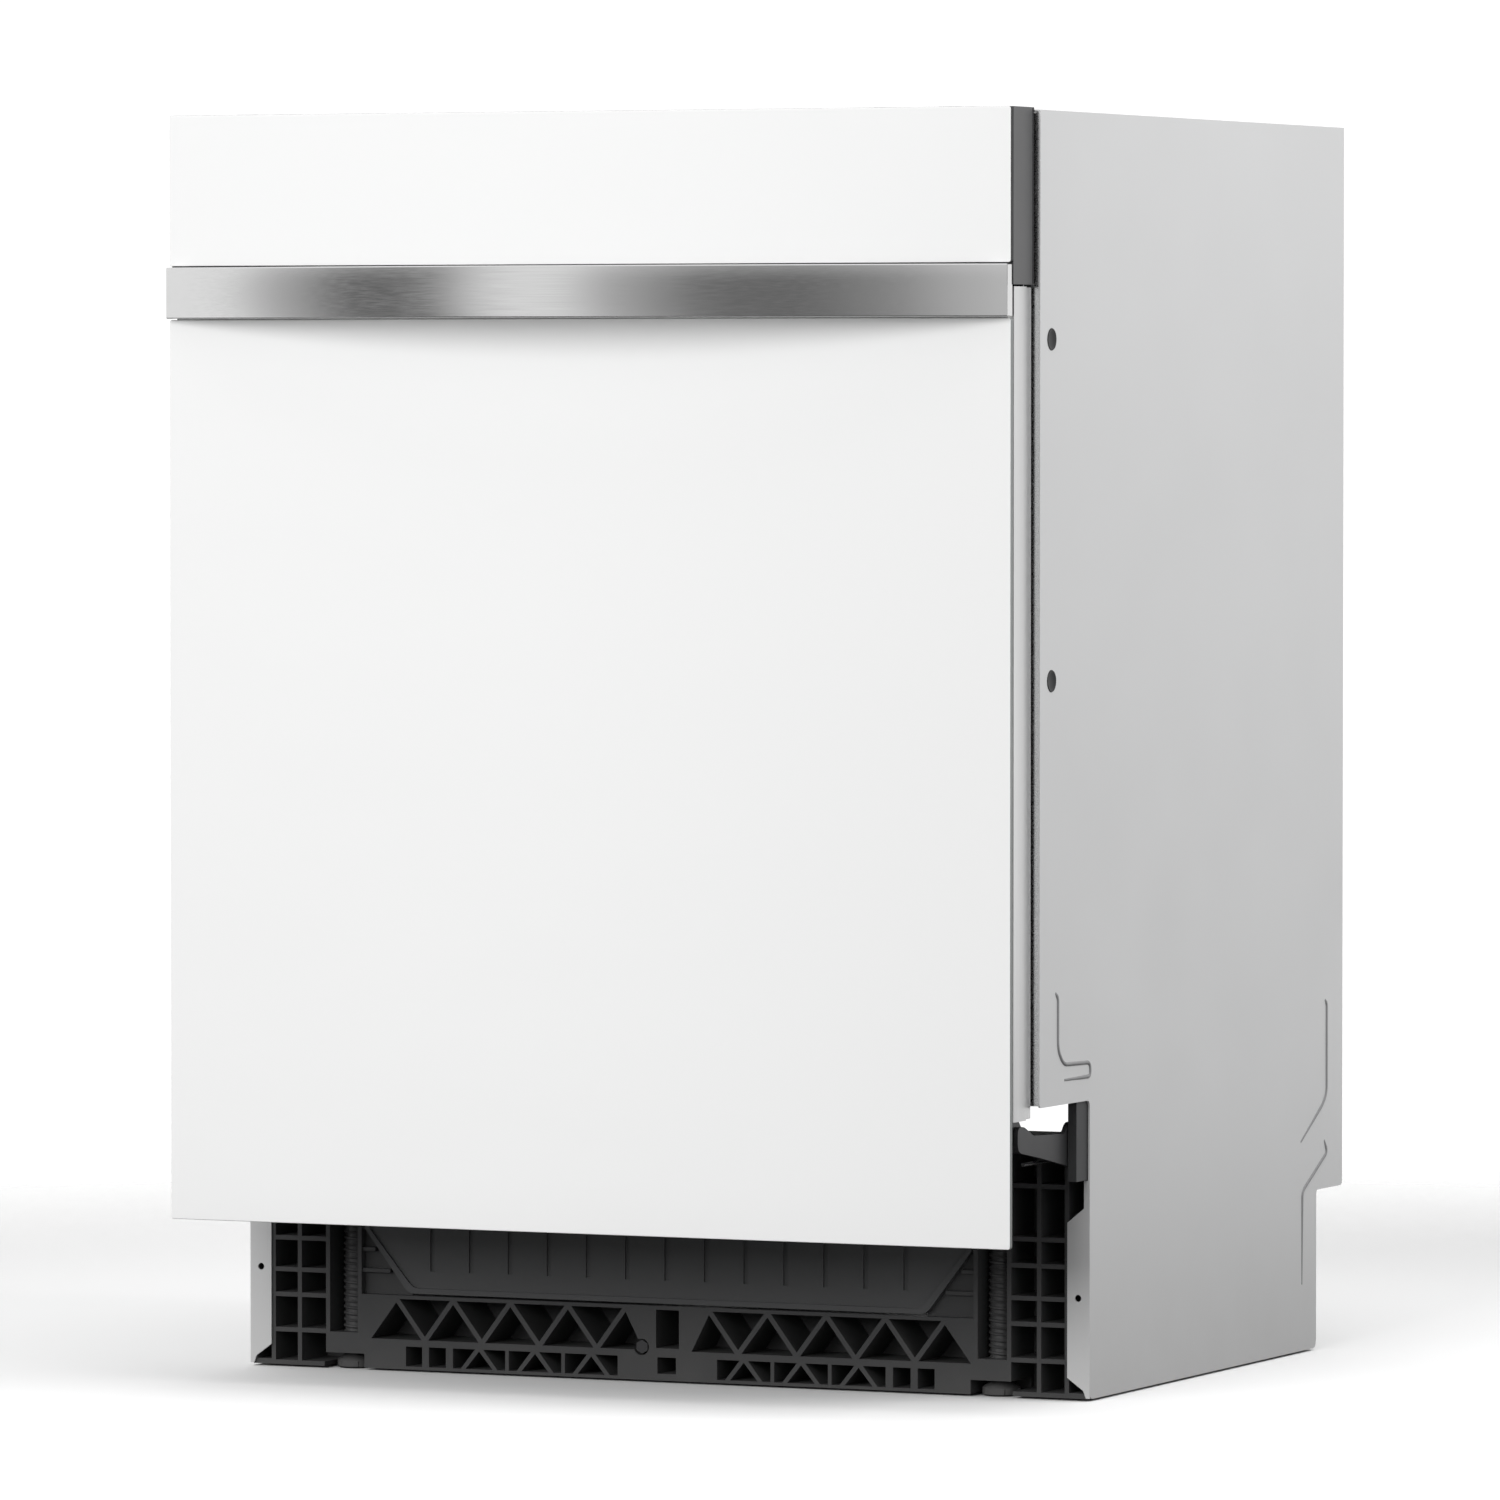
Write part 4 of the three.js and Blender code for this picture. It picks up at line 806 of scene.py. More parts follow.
class DISHWASHER_OT_handle(bpy.types.Operator):
    """The bowed steel band, its solid ends and the strip behind it"""
    bl_idname = "dishwasher.handle"
    bl_label = "Handle"

    def execute(self, context):
        low, high = (Vector(v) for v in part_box("handle_bar"))
        half, front = high.x, low.y
        rise, band = 0.029, 0.0025
        radius = (half ** 2 + rise ** 2) / (2 * rise)
        height = high.z - low.z
        mid_z = (high.z + low.z) / 2

        def bow(x, inset):
            return front + radius - math.sqrt((radius - inset) ** 2 - x ** 2)

        handle = Shape()
        inset, lug_length, lug_start, strip_front = 0.0006, 0.0145, 0.285, -0.266
        tip = half - inset
        path = [(x, bow(x, band / 2), mid_z) for x in spaced(-half + inset, tip, 97)]
        handle.sweep(path, rounded_rectangle(band, height, 0.0009, 4))
        for side in (-1, 1):
            back_of_band = max(bow(x, band * 0.7) for x in spaced(half - lug_length, tip, 6))
            inner, outer = sorted((side * lug_start, side * tip))
            handle.box((inner, back_of_band - inset, low.z + inset), (outer, high.y, high.z - inset))
        handle.box((-half + 0.001, strip_front, low.z + 0.0004), (half - 0.001, high.y, high.z - 0.0004))
        piece = handle.piece("handle_band", "brushed_handle_steel", "door", "handle_steel", ("handle_bar",))
        smooth_by_angle(piece, 30)
        return {"FINISHED"}


class DISHWASHER_OT_glass_panels(bpy.types.Operator):
    """The glass plates with ground edges, the frame's side lips and the housing's edge trim"""
    bl_idname = "dishwasher.glass_panels"
    bl_label = "Glass panels"

    def execute(self, context):
        corner, steps = 0.0016, 5
        for label in ("upper", "lower"):
            low, high = (Vector(v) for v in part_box(f"glass_panel_{label}"))
            centre_x, centre_z = (low.x + high.x) / 2, (low.z + high.z) / 2
            rim = rounded_rectangle(high.x - low.x, high.z - low.z, corner, steps)
            count = len(rim)
            verts = [(centre_x + a, y, centre_z + b) for y in (low.y, high.y) for a, b in rim]
            faces = [tuple(range(count)), tuple(count + k for k in reversed(range(count)))]
            faces += [(k, k + count, (k + 1) % count + count, (k + 1) % count) for k in range(count)]
            plate = Shape()
            plate.add(verts, faces)
            piece = plate.piece(f"glass_plate_{label}", "white_back_painted_glass", "door", "white_glass",
                                (f"glass_panel_{label}",))
            edge = "black_plug" if label == "upper" else "ground_glass_edge"
            piece.data.materials.append(FINISHES[edge])
            for face in piece.data.polygons:
                is_rim = abs(face.normal.y) < 0.5
                face.material_index = 1 if is_rim else 0
            soften(piece, 0.0005, 2, 40)
        frame_high = Vector(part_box("door_frame")[1])
        lips = Shape()
        fold, lip_back, skirt_end, rim_end = 0.0012, -0.2303, 0.188, 0.7155
        for side in (-1, 1):
            outer = frame_high.x * side
            near, far = sorted((outer - side * fold, outer))
            lips.box((near, frame_high.y - 0.0002, skirt_end), (far, lip_back, rim_end))
        soften(lips.piece("frame_side_lips", "brushed_frame_steel", "door", "inner_steel"), 0.0003, 2, 40)
        cap_low, cap_high = (Vector(v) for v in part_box("control_housing"))
        trim = Shape()
        proud, width = 0.00015, 0.0026
        sunk = 0.0004
        for side in (-1, 1):
            near, far = sorted((side * (cap_high.x - sunk), side * (cap_high.x + proud)))
            trim.box((near, cap_high.y - width, cap_low.z + sunk),
                     (far, cap_high.y - 0.0001, cap_high.z - sunk))
        soften(trim.piece("housing_edge_trim", "black_plug", "door", "housing_plastic"), 0.0001, 2, 40)
        return {"FINISHED"}


class DISHWASHER_OT_door_details(bpy.types.Operator):
    """Liner screws, display lights and the ribs on the detergent lid"""
    bl_idname = "dishwasher.door_details"
    bl_label = "Door details"

    def execute(self, context):
        low, high = (Vector(v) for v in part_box("door_liner"))
        liner_y = -0.234
        places = [((x, liner_y, z), (0, 1, 0)) for x in (low.x + 0.0085, high.x - 0.0085)
                  for z in spaced(low.z + 0.05, high.z - 0.06, 6)]
        places += [((x, liner_y, high.z - 0.012), (0, 1, 0)) for x in (-0.2, -0.09, 0.09, 0.2)]
        repeated("liner_screws", torx_screw(0.0042, 0.0016), places, "bright_steel", "door", "inner_steel")
        lights = Shape()
        window_low, window_high = (Vector(v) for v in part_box("display_window"))
        for x in spaced(window_low.x + 0.008, window_high.x - 0.008, 6):
            lights.turned([(0, 0), (0.0014, 0), (0.0011, 0.0003), (0, 0.0004)],
                          centre=(x, middle("display_window")[1], window_high.z - 0.0001), segments=12)
        lights.piece("display_lights", "dispenser_plastic", "door", "pale_plastic")
        ribs = Shape()
        lid_low, lid_high = (Vector(v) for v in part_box("detergent_lid"))
        rib_y = lid_high.y - 0.0002
        for x in spaced(lid_low.x + 0.012, lid_high.x - 0.012, 5):
            path = [(x, rib_y, lid_low.z + 0.018), (x, rib_y, lid_high.z - 0.018)]
            ribs.sweep(path, round_section(0.0012, 8))
        ribs.piece("lid_grip_ribs", "arm_plastic", "detergent_lid", "grey_plastic", smooth=True)
        return {"FINISHED"}


def torx_screw(radius, height):
    """A low domed screw head with a six-pointed socket, its back at the origin."""
    head = Shape()
    star = [(radius * (0.52 if k % 2 else 0.38), 0) for k in range(12)]
    points = 24
    rim = [(radius * math.cos(2 * math.pi * k / points), radius * math.sin(2 * math.pi * k / points))
           for k in range(points)]
    socket = [(star[k][0] * math.cos(2 * math.pi * k / 12), star[k][0] * math.sin(2 * math.pi * k / 12))
              for k in range(12)]
    verts = [(x, y, 0) for x, y in rim] + [(x * 0.93, y * 0.93, height * 0.6) for x, y in rim]
    verts += [(x * 0.7, y * 0.7, height) for x, y in rim]
    start = len(verts)
    verts += [(x, y, height) for x, y in socket] + [(x, y, height * 0.35) for x, y in socket]
    faces = []
    for ring in (0, points):
        faces += [(ring + k, ring + (k + 1) % points, ring + points + (k + 1) % points, ring + points + k)
                  for k in range(points)]
    top = 2 * points
    for k in range(12):
        after = (k + 1) % 12
        faces.append((top + 2 * k, top + 2 * k + 1, start + k))
        faces.append((top + 2 * k + 1, top + (2 * k + 2) % points, start + after, start + k))
        faces.append((start + k, start + after, start + 12 + after, start + 12 + k))
    faces.append(tuple(start + 12 + k for k in range(12)))
    faces.append(tuple(reversed(range(points))))
    head.add(verts, faces)
    return head


class DISHWASHER_OT_gasket(bpy.types.Operator):
    """The soft ribbed seal round the tub's mouth"""
    bl_idname = "dishwasher.gasket"
    bl_label = "Tub gasket"

    def execute(self, context):
        low, high = (Vector(v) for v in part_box("tub_gasket"))
        width, depth = 0.0075, high.y - low.y
        x, y, top = high.x - width / 2, (low.y + high.y) / 2, high.z - width / 2
        path = rounded_path([(-x, y, low.z), (-x, y, top), (x, y, top), (x, y, low.z)], 0.012, 8)
        section = rounded_rectangle(width, depth, 0.0022, 4)
        gasket = Shape()
        gasket.sweep(path, section)
        for inset in (-0.0014, 0.0014):
            lip_y = low.y + 0.0002
            lip = rounded_path([(-x + inset, lip_y, low.z), (-x + inset, lip_y, top - inset),
                                (x - inset, lip_y, top - inset), (x - inset, lip_y, low.z)], 0.012, 8)
            gasket.sweep(lip, round_section(0.0006, 6))
        piece = gasket.piece("gasket", "soft_rubber", "cabinet", "rubber", ("tub_gasket",))
        smooth_by_angle(piece, 50)
        return {"FINISHED"}


# ---- Cabinet ----

# Each bead is a chain of (y, z) in millimetres on the side sheet.
SHEET_BEADS = [
    [(-202.8, 266.5), (-199, 263), (-199, 229.8), (-189.5, 220), (-146, 219), (-145, 210), (-188, 210)],
    [(268.4, 237), (271.2, 233.8), (271.2, 173.3), (264, 166), (224, 142.8)],
    [(267.4, 141.5), (272.5, 133), (229.9, 111), (226.6, 107.6), (226.6, 46.4)],
]
PLUG_PLACES = [(-0.21, 0.6827), (-0.21, 0.4655)]


class DISHWASHER_OT_side_sheets(bpy.types.Operator):
    """Pressed beads, their dark colour painted shade along the creases, and hole plugs on both side panels"""
    bl_idname = "dishwasher.side_sheets"
    bl_label = "Side sheet beads and plugs"

    def execute(self, context):
        half = sizes().bead_width / 2
        proud = 0.0009
        section = [(half * math.cos(math.pi * k / 8), proud * math.sin(math.pi * k / 8)) for k in range(9)]
        section.append((-half, -0.0004))
        section.append((half, -0.0004))
        for side, label in ((-1, "left"), (1, "right")):
            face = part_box(f"side_panel_{label}")[1 if side > 0 else 0][0]
            beads = Shape()
            for chain in SHEET_BEADS:
                path = rounded_path([(0, y * MM, z * MM) for y, z in chain], 0.006, 5)
                self.press(beads, path, section, face, side)
            # The dark bead finish is painted shade along the pressed creases.
            piece = beads.piece(f"sheet_beads_{label}", "painted_bead_shade", "cabinet", "panel_paint")
            smooth_by_angle(piece, 60)
            plugs = Shape()
            for y, z in PLUG_PLACES:
                start = face - side * 0.0012
                plugs.turned([(0, 0), (0.0071, 0), (0.0071, side * 0.0013), (0.0068, side * 0.0017),
                              (0.0058, side * 0.0015), (0.0046, side * 0.0009), (0, side * 0.0007)],
                             "x", (start, y, z), 40)
            piece = plugs.piece(f"hole_plugs_{label}", "black_plug", "cabinet", "rubber")
            smooth_by_angle(piece, 30)
        return {"FINISHED"}

    @staticmethod
    def press(shape, path, section, face, side):
        """A raised bead lying on a sheet at x = face, with its ends drawn down to nothing."""
        verts, faces = [], []
        count = len(path)
        for i, point in enumerate(path):
            along = (path[min(i + 1, count - 1)] - path[max(i - 1, 0)]).normalized()
            across = Vector((0, -along.z, along.y))
            swell = 0.25 if i in (0, count - 1) else 1.0
            for a, b in section:
                verts.append(Vector((face + side * b * (swell if b > 0 else 1), 0, 0))
                             + Vector((0, point.y, point.z)) + across * a * (0.6 if swell < 1 else 1))
        ring = len(section)
        for i in range(count - 1):
            for k in range(ring):
                after = (k + 1) % ring
                faces.append((i * ring + k, i * ring + after, (i + 1) * ring + after, (i + 1) * ring + k))
        faces.append(tuple(range(ring)))
        faces.append(tuple((count - 1) * ring + k for k in range(ring)))
        shape.add(verts, faces)


class DISHWASHER_OT_cabinet_screws(bpy.types.Operator):
    """Screws in the side flanges and the braces"""
    bl_idname = "dishwasher.cabinet_screws"
    bl_label = "Cabinet screws"

    def execute(self, context):
        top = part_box("top_front_brace")[1][2]
        places = [((side * x, -0.19, top - 0.0002), (0, 0, 1)) for side in (-1, 1) for x in (0.27, 0.14)]
        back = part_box("rear_brace")[1][1]
        places += [((side * 0.272, back - 0.0002, z), (0, 1, 0)) for side in (-1, 1) for z in (0.575, 0.605)]
        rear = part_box("side_panel_right")[1][1]
        places += [((side * 0.296, rear - 0.0002, z), (0, 1, 0))
                   for side in (-1, 1) for z in (0.16, 0.4, 0.7)]
        repeated("cabinet_screws", torx_screw(0.0042, 0.0022), places, "bright_steel", "cabinet",
                 "galvanised")
        return {"FINISHED"}


class DISHWASHER_OT_damping_sheets(bpy.types.Operator):
    """Bitumen sheets stuck to the back and top of the tub"""
    bl_idname = "dishwasher.damping_sheets"
    bl_label = "Damping sheets"

    def execute(self, context):
        high = Vector(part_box("tub")[1])
        sheets = Shape()
        for x0, x1, z0, z1 in ((-0.25, -0.03, 0.235, 0.545), (0.03, 0.25, 0.235, 0.545),
                               (-0.25, 0.25, 0.635, 0.79)):
            self.pad(sheets, x0, x1, z0, z1, lambda a, b, d: Vector((a, high.y + d, b)))
        top = 0.815
        for x0, x1, y0, y1 in ((-0.25, -0.02, -0.14, 0.26), (0.02, 0.25, -0.14, 0.26)):
            self.pad(sheets, x0, x1, y0, y1, lambda a, b, d: Vector((a, b, top + d)))
        piece = sheets.piece("damping_sheets", "damping_sheet", "cabinet", "dark_plastic")
        smooth_by_angle(piece, 50)
        return {"FINISHED"}

    @staticmethod
    def pad(shape, a0, a1, b0, b1, at):
        """A soft-edged sheet 2.4 mm thick with slight waves."""
        columns, rows = 28, 22
        thick = 0.0024
        verts, faces = [], []
        for j in range(rows + 1):
            for i in range(columns + 1):
                a, b = a0 + (a1 - a0) * i / columns, b0 + (b1 - b0) * j / rows
                edge = i in (0, columns) or j in (0, rows)
                wave = 0.00018 * math.sin(61 * a + 3) * math.cos(47 * b + 1)
                verts.append(at(a, b, 0.0004 if edge else thick - 0.0003 + wave))
        for j in range(rows):
            for i in range(columns):
                k = j * (columns + 1) + i
                faces.append((k, k + 1, k + columns + 2, k + columns + 1))
        base = len(verts)
        verts += [at(a, b, 0.0001) for a, b in ((a0, b0), (a1, b0), (a1, b1), (a0, b1))]
        rim = [list(range(columns + 1)), [columns + r * (columns + 1) for r in range(rows + 1)],
               [rows * (columns + 1) + columns - c for c in range(columns + 1)],
               [(rows - r) * (columns + 1) for r in range(rows + 1)]]
        for side, edge in enumerate(rim):
            faces.append((*edge, base + (side + 1) % 4, base + side))
        faces.append((base, base + 1, base + 2, base + 3))
        shape.add(verts, faces)


class DISHWASHER_OT_legs(bpy.types.Operator):
    """Threaded levelling legs, two in front and one behind"""
    bl_idname = "dishwasher.legs"
    bl_label = "Legs"

    def execute(self, context):
        for node, slot in (("levelling_leg_left", "leg_plastic"), ("levelling_leg_right", "leg_plastic"),
                           ("rear_leg", "leg_plastic")):
            self.leg(node, slot)
        return {"FINISHED"}

    @staticmethod
    def leg(node, slot):
        low, high = (Vector(v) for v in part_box(node))
        x, y = (low.x + high.x) / 2, (low.y + high.y) / 2
        foot, thread = (high.x - low.x) / 2, 0.0085
        root, pitch = thread - 0.0013, sizes().thread_pitch
        neck = 0.011
        core = Shape()
        core.turned([(0, 0), (foot - 0.0015, 0), (foot, 0.0012), (foot, 0.0052), (foot - 0.0012, 0.0066),
                     (root + 0.0006, 0.009), (root, neck), (root, high.z - 0.003),
                     (root - 0.0016, high.z - 0.0006), (root - 0.002, high.z), (0, high.z)],
                    centre=(x, y, 0), segments=48)
        for k in range(6):
            angle = math.pi / 3 * k
            offset = Vector((math.cos(angle), math.sin(angle), 0)) * (foot - 0.0002)
            core.turned([(0, 0.0014), (0.0009, 0.0014), (0.0009, 0.0049), (0, 0.0049)],
                        centre=Vector((x, y, 0)) + offset, segments=8)
        length = high.z - neck - 0.008
        turns = length / pitch
        thread_mesh = coil_mesh(turns, root + 0.0002, length, 0.00112, 20, 6, "leg_plastic")
        thread_mesh.transform(Matrix.Translation((x, y, neck + 0.003)))
        whole = joined_mesh(node, [mesh_of(core), thread_mesh])
        piece = piece_with(f"{node}_threaded", whole, "leg_plastic", node, slot, (node,))
        smooth_by_angle(piece, 40)


class DISHWASHER_OT_door_springs(bpy.types.Operator):
    """Wound balance springs with hooked ends"""
    bl_idname = "dishwasher.door_springs"
    bl_label = "Door springs"

    def execute(self, context):
        for label in ("left", "right"):
            node = f"door_spring_{label}"
            low, high = (Vector(v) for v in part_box(node))
            x, z = (low.x + high.x) / 2, (low.z + high.z) / 2
            wire, outer = 0.0013, (high.x - low.x) / 2
            start, end = -0.086, 0.032
            coil = coil_mesh(sizes().coil_turns, outer - wire, end - start, wire, 16, 6, "bright_steel")
            coil.transform(Matrix.Translation((x, end, z)) @ Matrix.Rotation(math.pi / 2, 4, "X"))
            reach = outer - wire
            hooks = grown("wire", chains_mesh([
                [(x, low.y + 0.001, z), (x, start - 0.008, z), (x + reach * 0.7, start - 0.002, z),
                 (x + reach, start, z)],
                [(x, high.y - 0.001, z), (x, end + 0.008, z), (x + reach * 0.7, end + 0.002, z),
                 (x + reach, end, z)],
            ]), {"Radius": wire, "Bend": 0.003, "Sides": 8, "Finish": FINISHES["bright_steel"]})
            piece_with(f"{node}_wound", joined_mesh(node, [coil, hooks]), "bright_steel", "cabinet",
                       "galvanised", (node,), smooth=True)
        return {"FINISHED"}


# ---- Racks ----

class DISHWASHER_OT_racks(bpy.types.Operator):
    """Coated wire racks with rims, floor wires, tines and carriers"""
    bl_idname = "dishwasher.racks"
    bl_label = "Racks"

    def execute(self, context):
        half, front, back = 0.252, -0.195, 0.235
        self.lower(half, front, back, 0.262, 0.400)
        self.upper(half, front, back, 0.500, 0.625)
        return {"FINISHED"}

    @staticmethod
    def ring(half, front, back, z):
        corners = [(-half, front, z), (half, front, z), (half, back, z), (-half, back, z)]
        return [*corners, corners[0]]

    def basket(self, half, front, back, low, high, middle_z):
        """Rims as thick wire, and the thin wires that run down one side, across and up the other."""
        rim, thin = sizes().rim_radius, sizes().wire_radius
        reach = half - rim
        rims = [self.ring(reach, front + rim, back - rim, z) for z in (high - rim, middle_z)]
        inner = reach - rim - thin
        floor, top = low + thin, high - rim
        wires_x = [[(x, front + 2 * rim + thin, top), (x, front + 2 * rim + thin, floor),
                    (x, back - 2 * rim - thin, floor), (x, back - 2 * rim - thin, top)]
                   for x in spaced(-half + 0.026, half - 0.026, 17)]
        wires_y = [[(-inner, y, top), (-inner, y, floor + 2 * thin),
                    (inner, y, floor + 2 * thin), (inner, y, top)]
                   for y in spaced(front + 0.03, back - 0.03, 14)]
        return rims, wires_x + wires_y

    def lower(self, half, front, back, low, high):
        rims, thin_wires = self.basket(half, front, back, low, high, 0.332)
        whole = [grown("wire", chains_mesh(rims), self.wire(sizes().rim_radius, 0.03)),
                 grown("wire", chains_mesh(thin_wires), self.wire(sizes().wire_radius, 0.012))]
        tines = Shape()
        height = sizes().tine_height
        tines.turned([(0, 0), (0.0015, 0), (0.0015, height - 0.0025), (0.0011, height - 0.0006), (0, height)],
                     segments=8)
        count = int(0.38 / sizes().tine_pitch)
        places = [((x, front + 0.045 + sizes().tine_pitch * i, low + 0.004), (0, 0.12, 1))
                  for x in (-0.205, -0.145, -0.085, -0.025, 0.035, 0.095) for i in range(count)]
        self.finish("lower_rack", whole, tines, places)
        carriers = Shape()
        axle = 0.2205
        for side in (-1, 1):
            for y in (-0.11, 0.15):
                inner, outer = side * 0.2505, side * 0.2545
                profile = [(y - 0.012, low + 0.01), (y + 0.012, low + 0.01), (y + 0.01, axle + 0.012),
                           (y + 0.008, axle - 0.006), (y, axle - 0.0085), (y - 0.008, axle - 0.006),
                           (y - 0.01, axle + 0.012)]
                verts = [(x, py, pz) for x in (inner, outer) for py, pz in profile]
                count = len(profile)
                faces = [tuple(range(count)), tuple(range(2 * count - 1, count - 1, -1))]
                faces += [(k, (k + 1) % count, count + (k + 1) % count, count + k) for k in range(count)]
                carriers.add(verts, faces)
                carriers.turned([(0, side * 0.2525), (0.003, side * 0.2525), (0.003, side * 0.268),
                                 (0.0024, side * 0.269), (0, side * 0.269)], "x", (0, y, axle), 24)
        soften(carriers.piece("wheel_carriers", "arm_plastic", "lower_rack", "grey_plastic"), 0.0006)

    def upper(self, half, front, back, low, high):
        rims, thin_wires = self.basket(half, front, back, low, high, 0.545)
        whole = [grown("wire", chains_mesh(rims), self.wire(sizes().rim_radius, 0.03)),
                 grown("wire", chains_mesh(thin_wires), self.wire(sizes().wire_radius, 0.012))]
        tines = Shape()
        tines.turned([(0, 0), (0.0015, 0), (0.0015, 0.0495), (0.0011, 0.0514), (0, 0.052)], segments=8)
        places = [((x, front + 0.05 + 0.03 * i, low + 0.004), (0.1, 0, 1))
                  for x in (-0.14, -0.06, 0.06, 0.14) for i in range(12)]
        self.finish("upper_rack", whole, tines, places)
        slides = Shape()
        for side in (-1, 1):
            slides.sweep([(side * 0.2565, front + 0.008, 0.560), (side * 0.2565, back - 0.035, 0.560)],
                         rounded_rectangle(0.0105, 0.0098, 0.0012, 3))
        soften(slides.piece("rack_slides", "bright_steel", "upper_rack", "inner_steel"), 0.0004, 1)
        duct = Shape()
        duct.sweep([(0, 0.0155, 0.4966), (0, 0.2, 0.4966), (0, 0.2365, 0.4966)],
                   rounded_rectangle(0.0256, 0.0112, 0.003, 4))
        duct.sweep([(0, 0.2365, 0.4715), (0, 0.2365, 0.509)], rounded_rectangle(0.026, 0.0008, 0.0003, 1))
        duct.turned([(0, 0.4655), (0.0138, 0.4655), (0.0138, 0.4698), (0.0088, 0.471), (0.0088, 0.499),
                     (0, 0.499)], centre=(0, 0.029, 0), segments=40)
        duct.turned([(0.004, 0.2285), (0.0135, 0.2285), (0.0135, 0.2368), (0.0115, 0.2372), (0.004, 0.2372),
                     (0.004, 0.2285)], "y", (0, 0, 0.484), 40)
        smooth_by_angle(duct.piece("rack_water_duct", "arm_plastic", "upper_rack", "grey_plastic"), 35)

    @staticmethod
    def wire(radius, bend):
        return {"Radius": radius, "Bend": bend, "Sides": 8, "Finish": FINISHES["rack_coating"]}

    @staticmethod
    def finish(node, meshes, tine, places):
        rows = repeated(f"{node}_tines", tine, places, "rack_coating", node, "rack_coating", 60)
        piece_with(f"{node}_wires", joined_mesh(node, meshes), "rack_coating", node, "rack_coating",
                   (node,), smooth=True)
        return rows


class DISHWASHER_OT_cutlery_basket(bpy.types.Operator):
    """A slatted basket with five cells and a carrying loop"""
    bl_idname = "dishwasher.cutlery_basket"
    bl_label = "Cutlery basket"

    def execute(self, context):
        low, high = (Vector(v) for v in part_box("cutlery_basket"))
        top = 0.385
        wall = 0.0024
        frame_parts = Shape()
        for z0, z1 in ((low.z, low.z + 0.012), (0.325, 0.331), (top - 0.010, top)):
            frame_parts.box((low.x, low.y, z0), (high.x, low.y + wall, z1))
            frame_parts.box((low.x, high.y - wall, z0), (high.x, high.y, z1))
            frame_parts.box((low.x, low.y, z0), (low.x + wall, high.y, z1))
            frame_parts.box((high.x - wall, low.y, z0), (high.x, high.y, z1))
        step = (high.y - low.y - wall) / 5
        for k in range(1, 5):
            y = low.y + step * k
            frame_parts.box((low.x + 0.001, y, low.z + 0.001), (high.x - 0.001, y + wall, top - 0.004))
        for y in spaced(low.y + 0.006, high.y - 0.008, 20):
            frame_parts.box((low.x + 0.001, y, low.z), (high.x - 0.001, y + 0.002, low.z + 0.0022))
        for x in spaced(low.x + 0.008, high.x - 0.010, 7):
            frame_parts.box((x, low.y + 0.001, low.z + 0.0002), (x + 0.002, high.y - 0.001, low.z + 0.0024))
        centre_x = (low.x + high.x) / 2
        y0, y1 = low.y + 2 * step + wall / 2, low.y + 3 * step + wall / 2
        loop = rounded_path([(centre_x, y0, top - 0.02), (centre_x, y0, high.z - 0.004),
                             (centre_x, y1, high.z - 0.004), (centre_x, y1, top - 0.02)], 0.012, 6)
        frame_parts.sweep(loop, round_section(0.0036, 12))
        piece = frame_parts.piece("basket_frame", "basket_plastic", "lower_rack", "basket_plastic",
                                  ("cutlery_basket",))
        soften(piece, 0.0004, 1)
        slat = Shape()
        slat.box((-0.0011, -0.0009, 0.010), (0.0011, 0.0009, top - low.z - 0.008))
        places = [((x, y, low.z), (0, 0, 1)) for x in (low.x + 0.0012, high.x - 0.0012)
                  for y in spaced(low.y + 0.008, high.y - 0.008, 27)]
        places += [((x, y, low.z), (0, 0, 1)) for y in (low.y + 0.0012, high.y - 0.0012)
                   for x in spaced(low.x + 0.009, high.x - 0.009, 7)]
        repeated("basket_slats", slat, places, "basket_plastic", "lower_rack", "basket_plastic")
        return {"FINISHED"}


class DISHWASHER_OT_rack_wheels(bpy.types.Operator):
    """Ribbed rollers of the lower rack"""
    bl_idname = "dishwasher.rack_wheels"
    bl_label = "Rack wheels"

    def execute(self, context):
        for place in ("front_left", "rear_left", "front_right", "rear_right"):
            node = f"rack_wheel_{place}"
            low, high = (Vector(v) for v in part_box(node))
            centre = Vector(middle(node))
            half, radius = (high.x - low.x) / 2, (high.z - low.z) / 2
            wheel = Shape()
            wheel.turned([(0.0034, -half), (radius - 0.0012, -half), (radius, -half + 0.0012),
                          (radius, half - 0.0012), (radius - 0.0012, half), (radius - 0.0034, half),
                          (radius - 0.004, half - 0.0008),
                          (radius - 0.004, -half + 0.0035), (0.0068, -half + 0.0035), (0.0065, half - 0.0006),
                          (0.006, half), (0.0034, half), (0.0034, -half)], "x", centre, 48)
            for k in range(6):
                angle = math.pi / 3 * k
                out = Vector((0, math.cos(angle), math.sin(angle)))
                across = Vector((0, -math.sin(angle), math.cos(angle))) * 0.0009
                corners = [centre + out * r + across * s + Vector((x, 0, 0))
                           for x in (-half + 0.003, half - 0.0014) for r, s in
                           ((0.0062, -1), (radius - 0.0037, -1), (radius - 0.0037, 1), (0.0062, 1))]
                wheel.add(corners, [(3, 2, 1, 0), (4, 5, 6, 7), (0, 1, 5, 4), (1, 2, 6, 5),
                                    (2, 3, 7, 6), (3, 0, 4, 7)])
            piece = wheel.piece(f"{node}_ribbed", "arm_plastic", node, "grey_plastic", (node,))
            smooth_by_angle(piece, 35)
        return {"FINISHED"}


# ---- Wash system ----

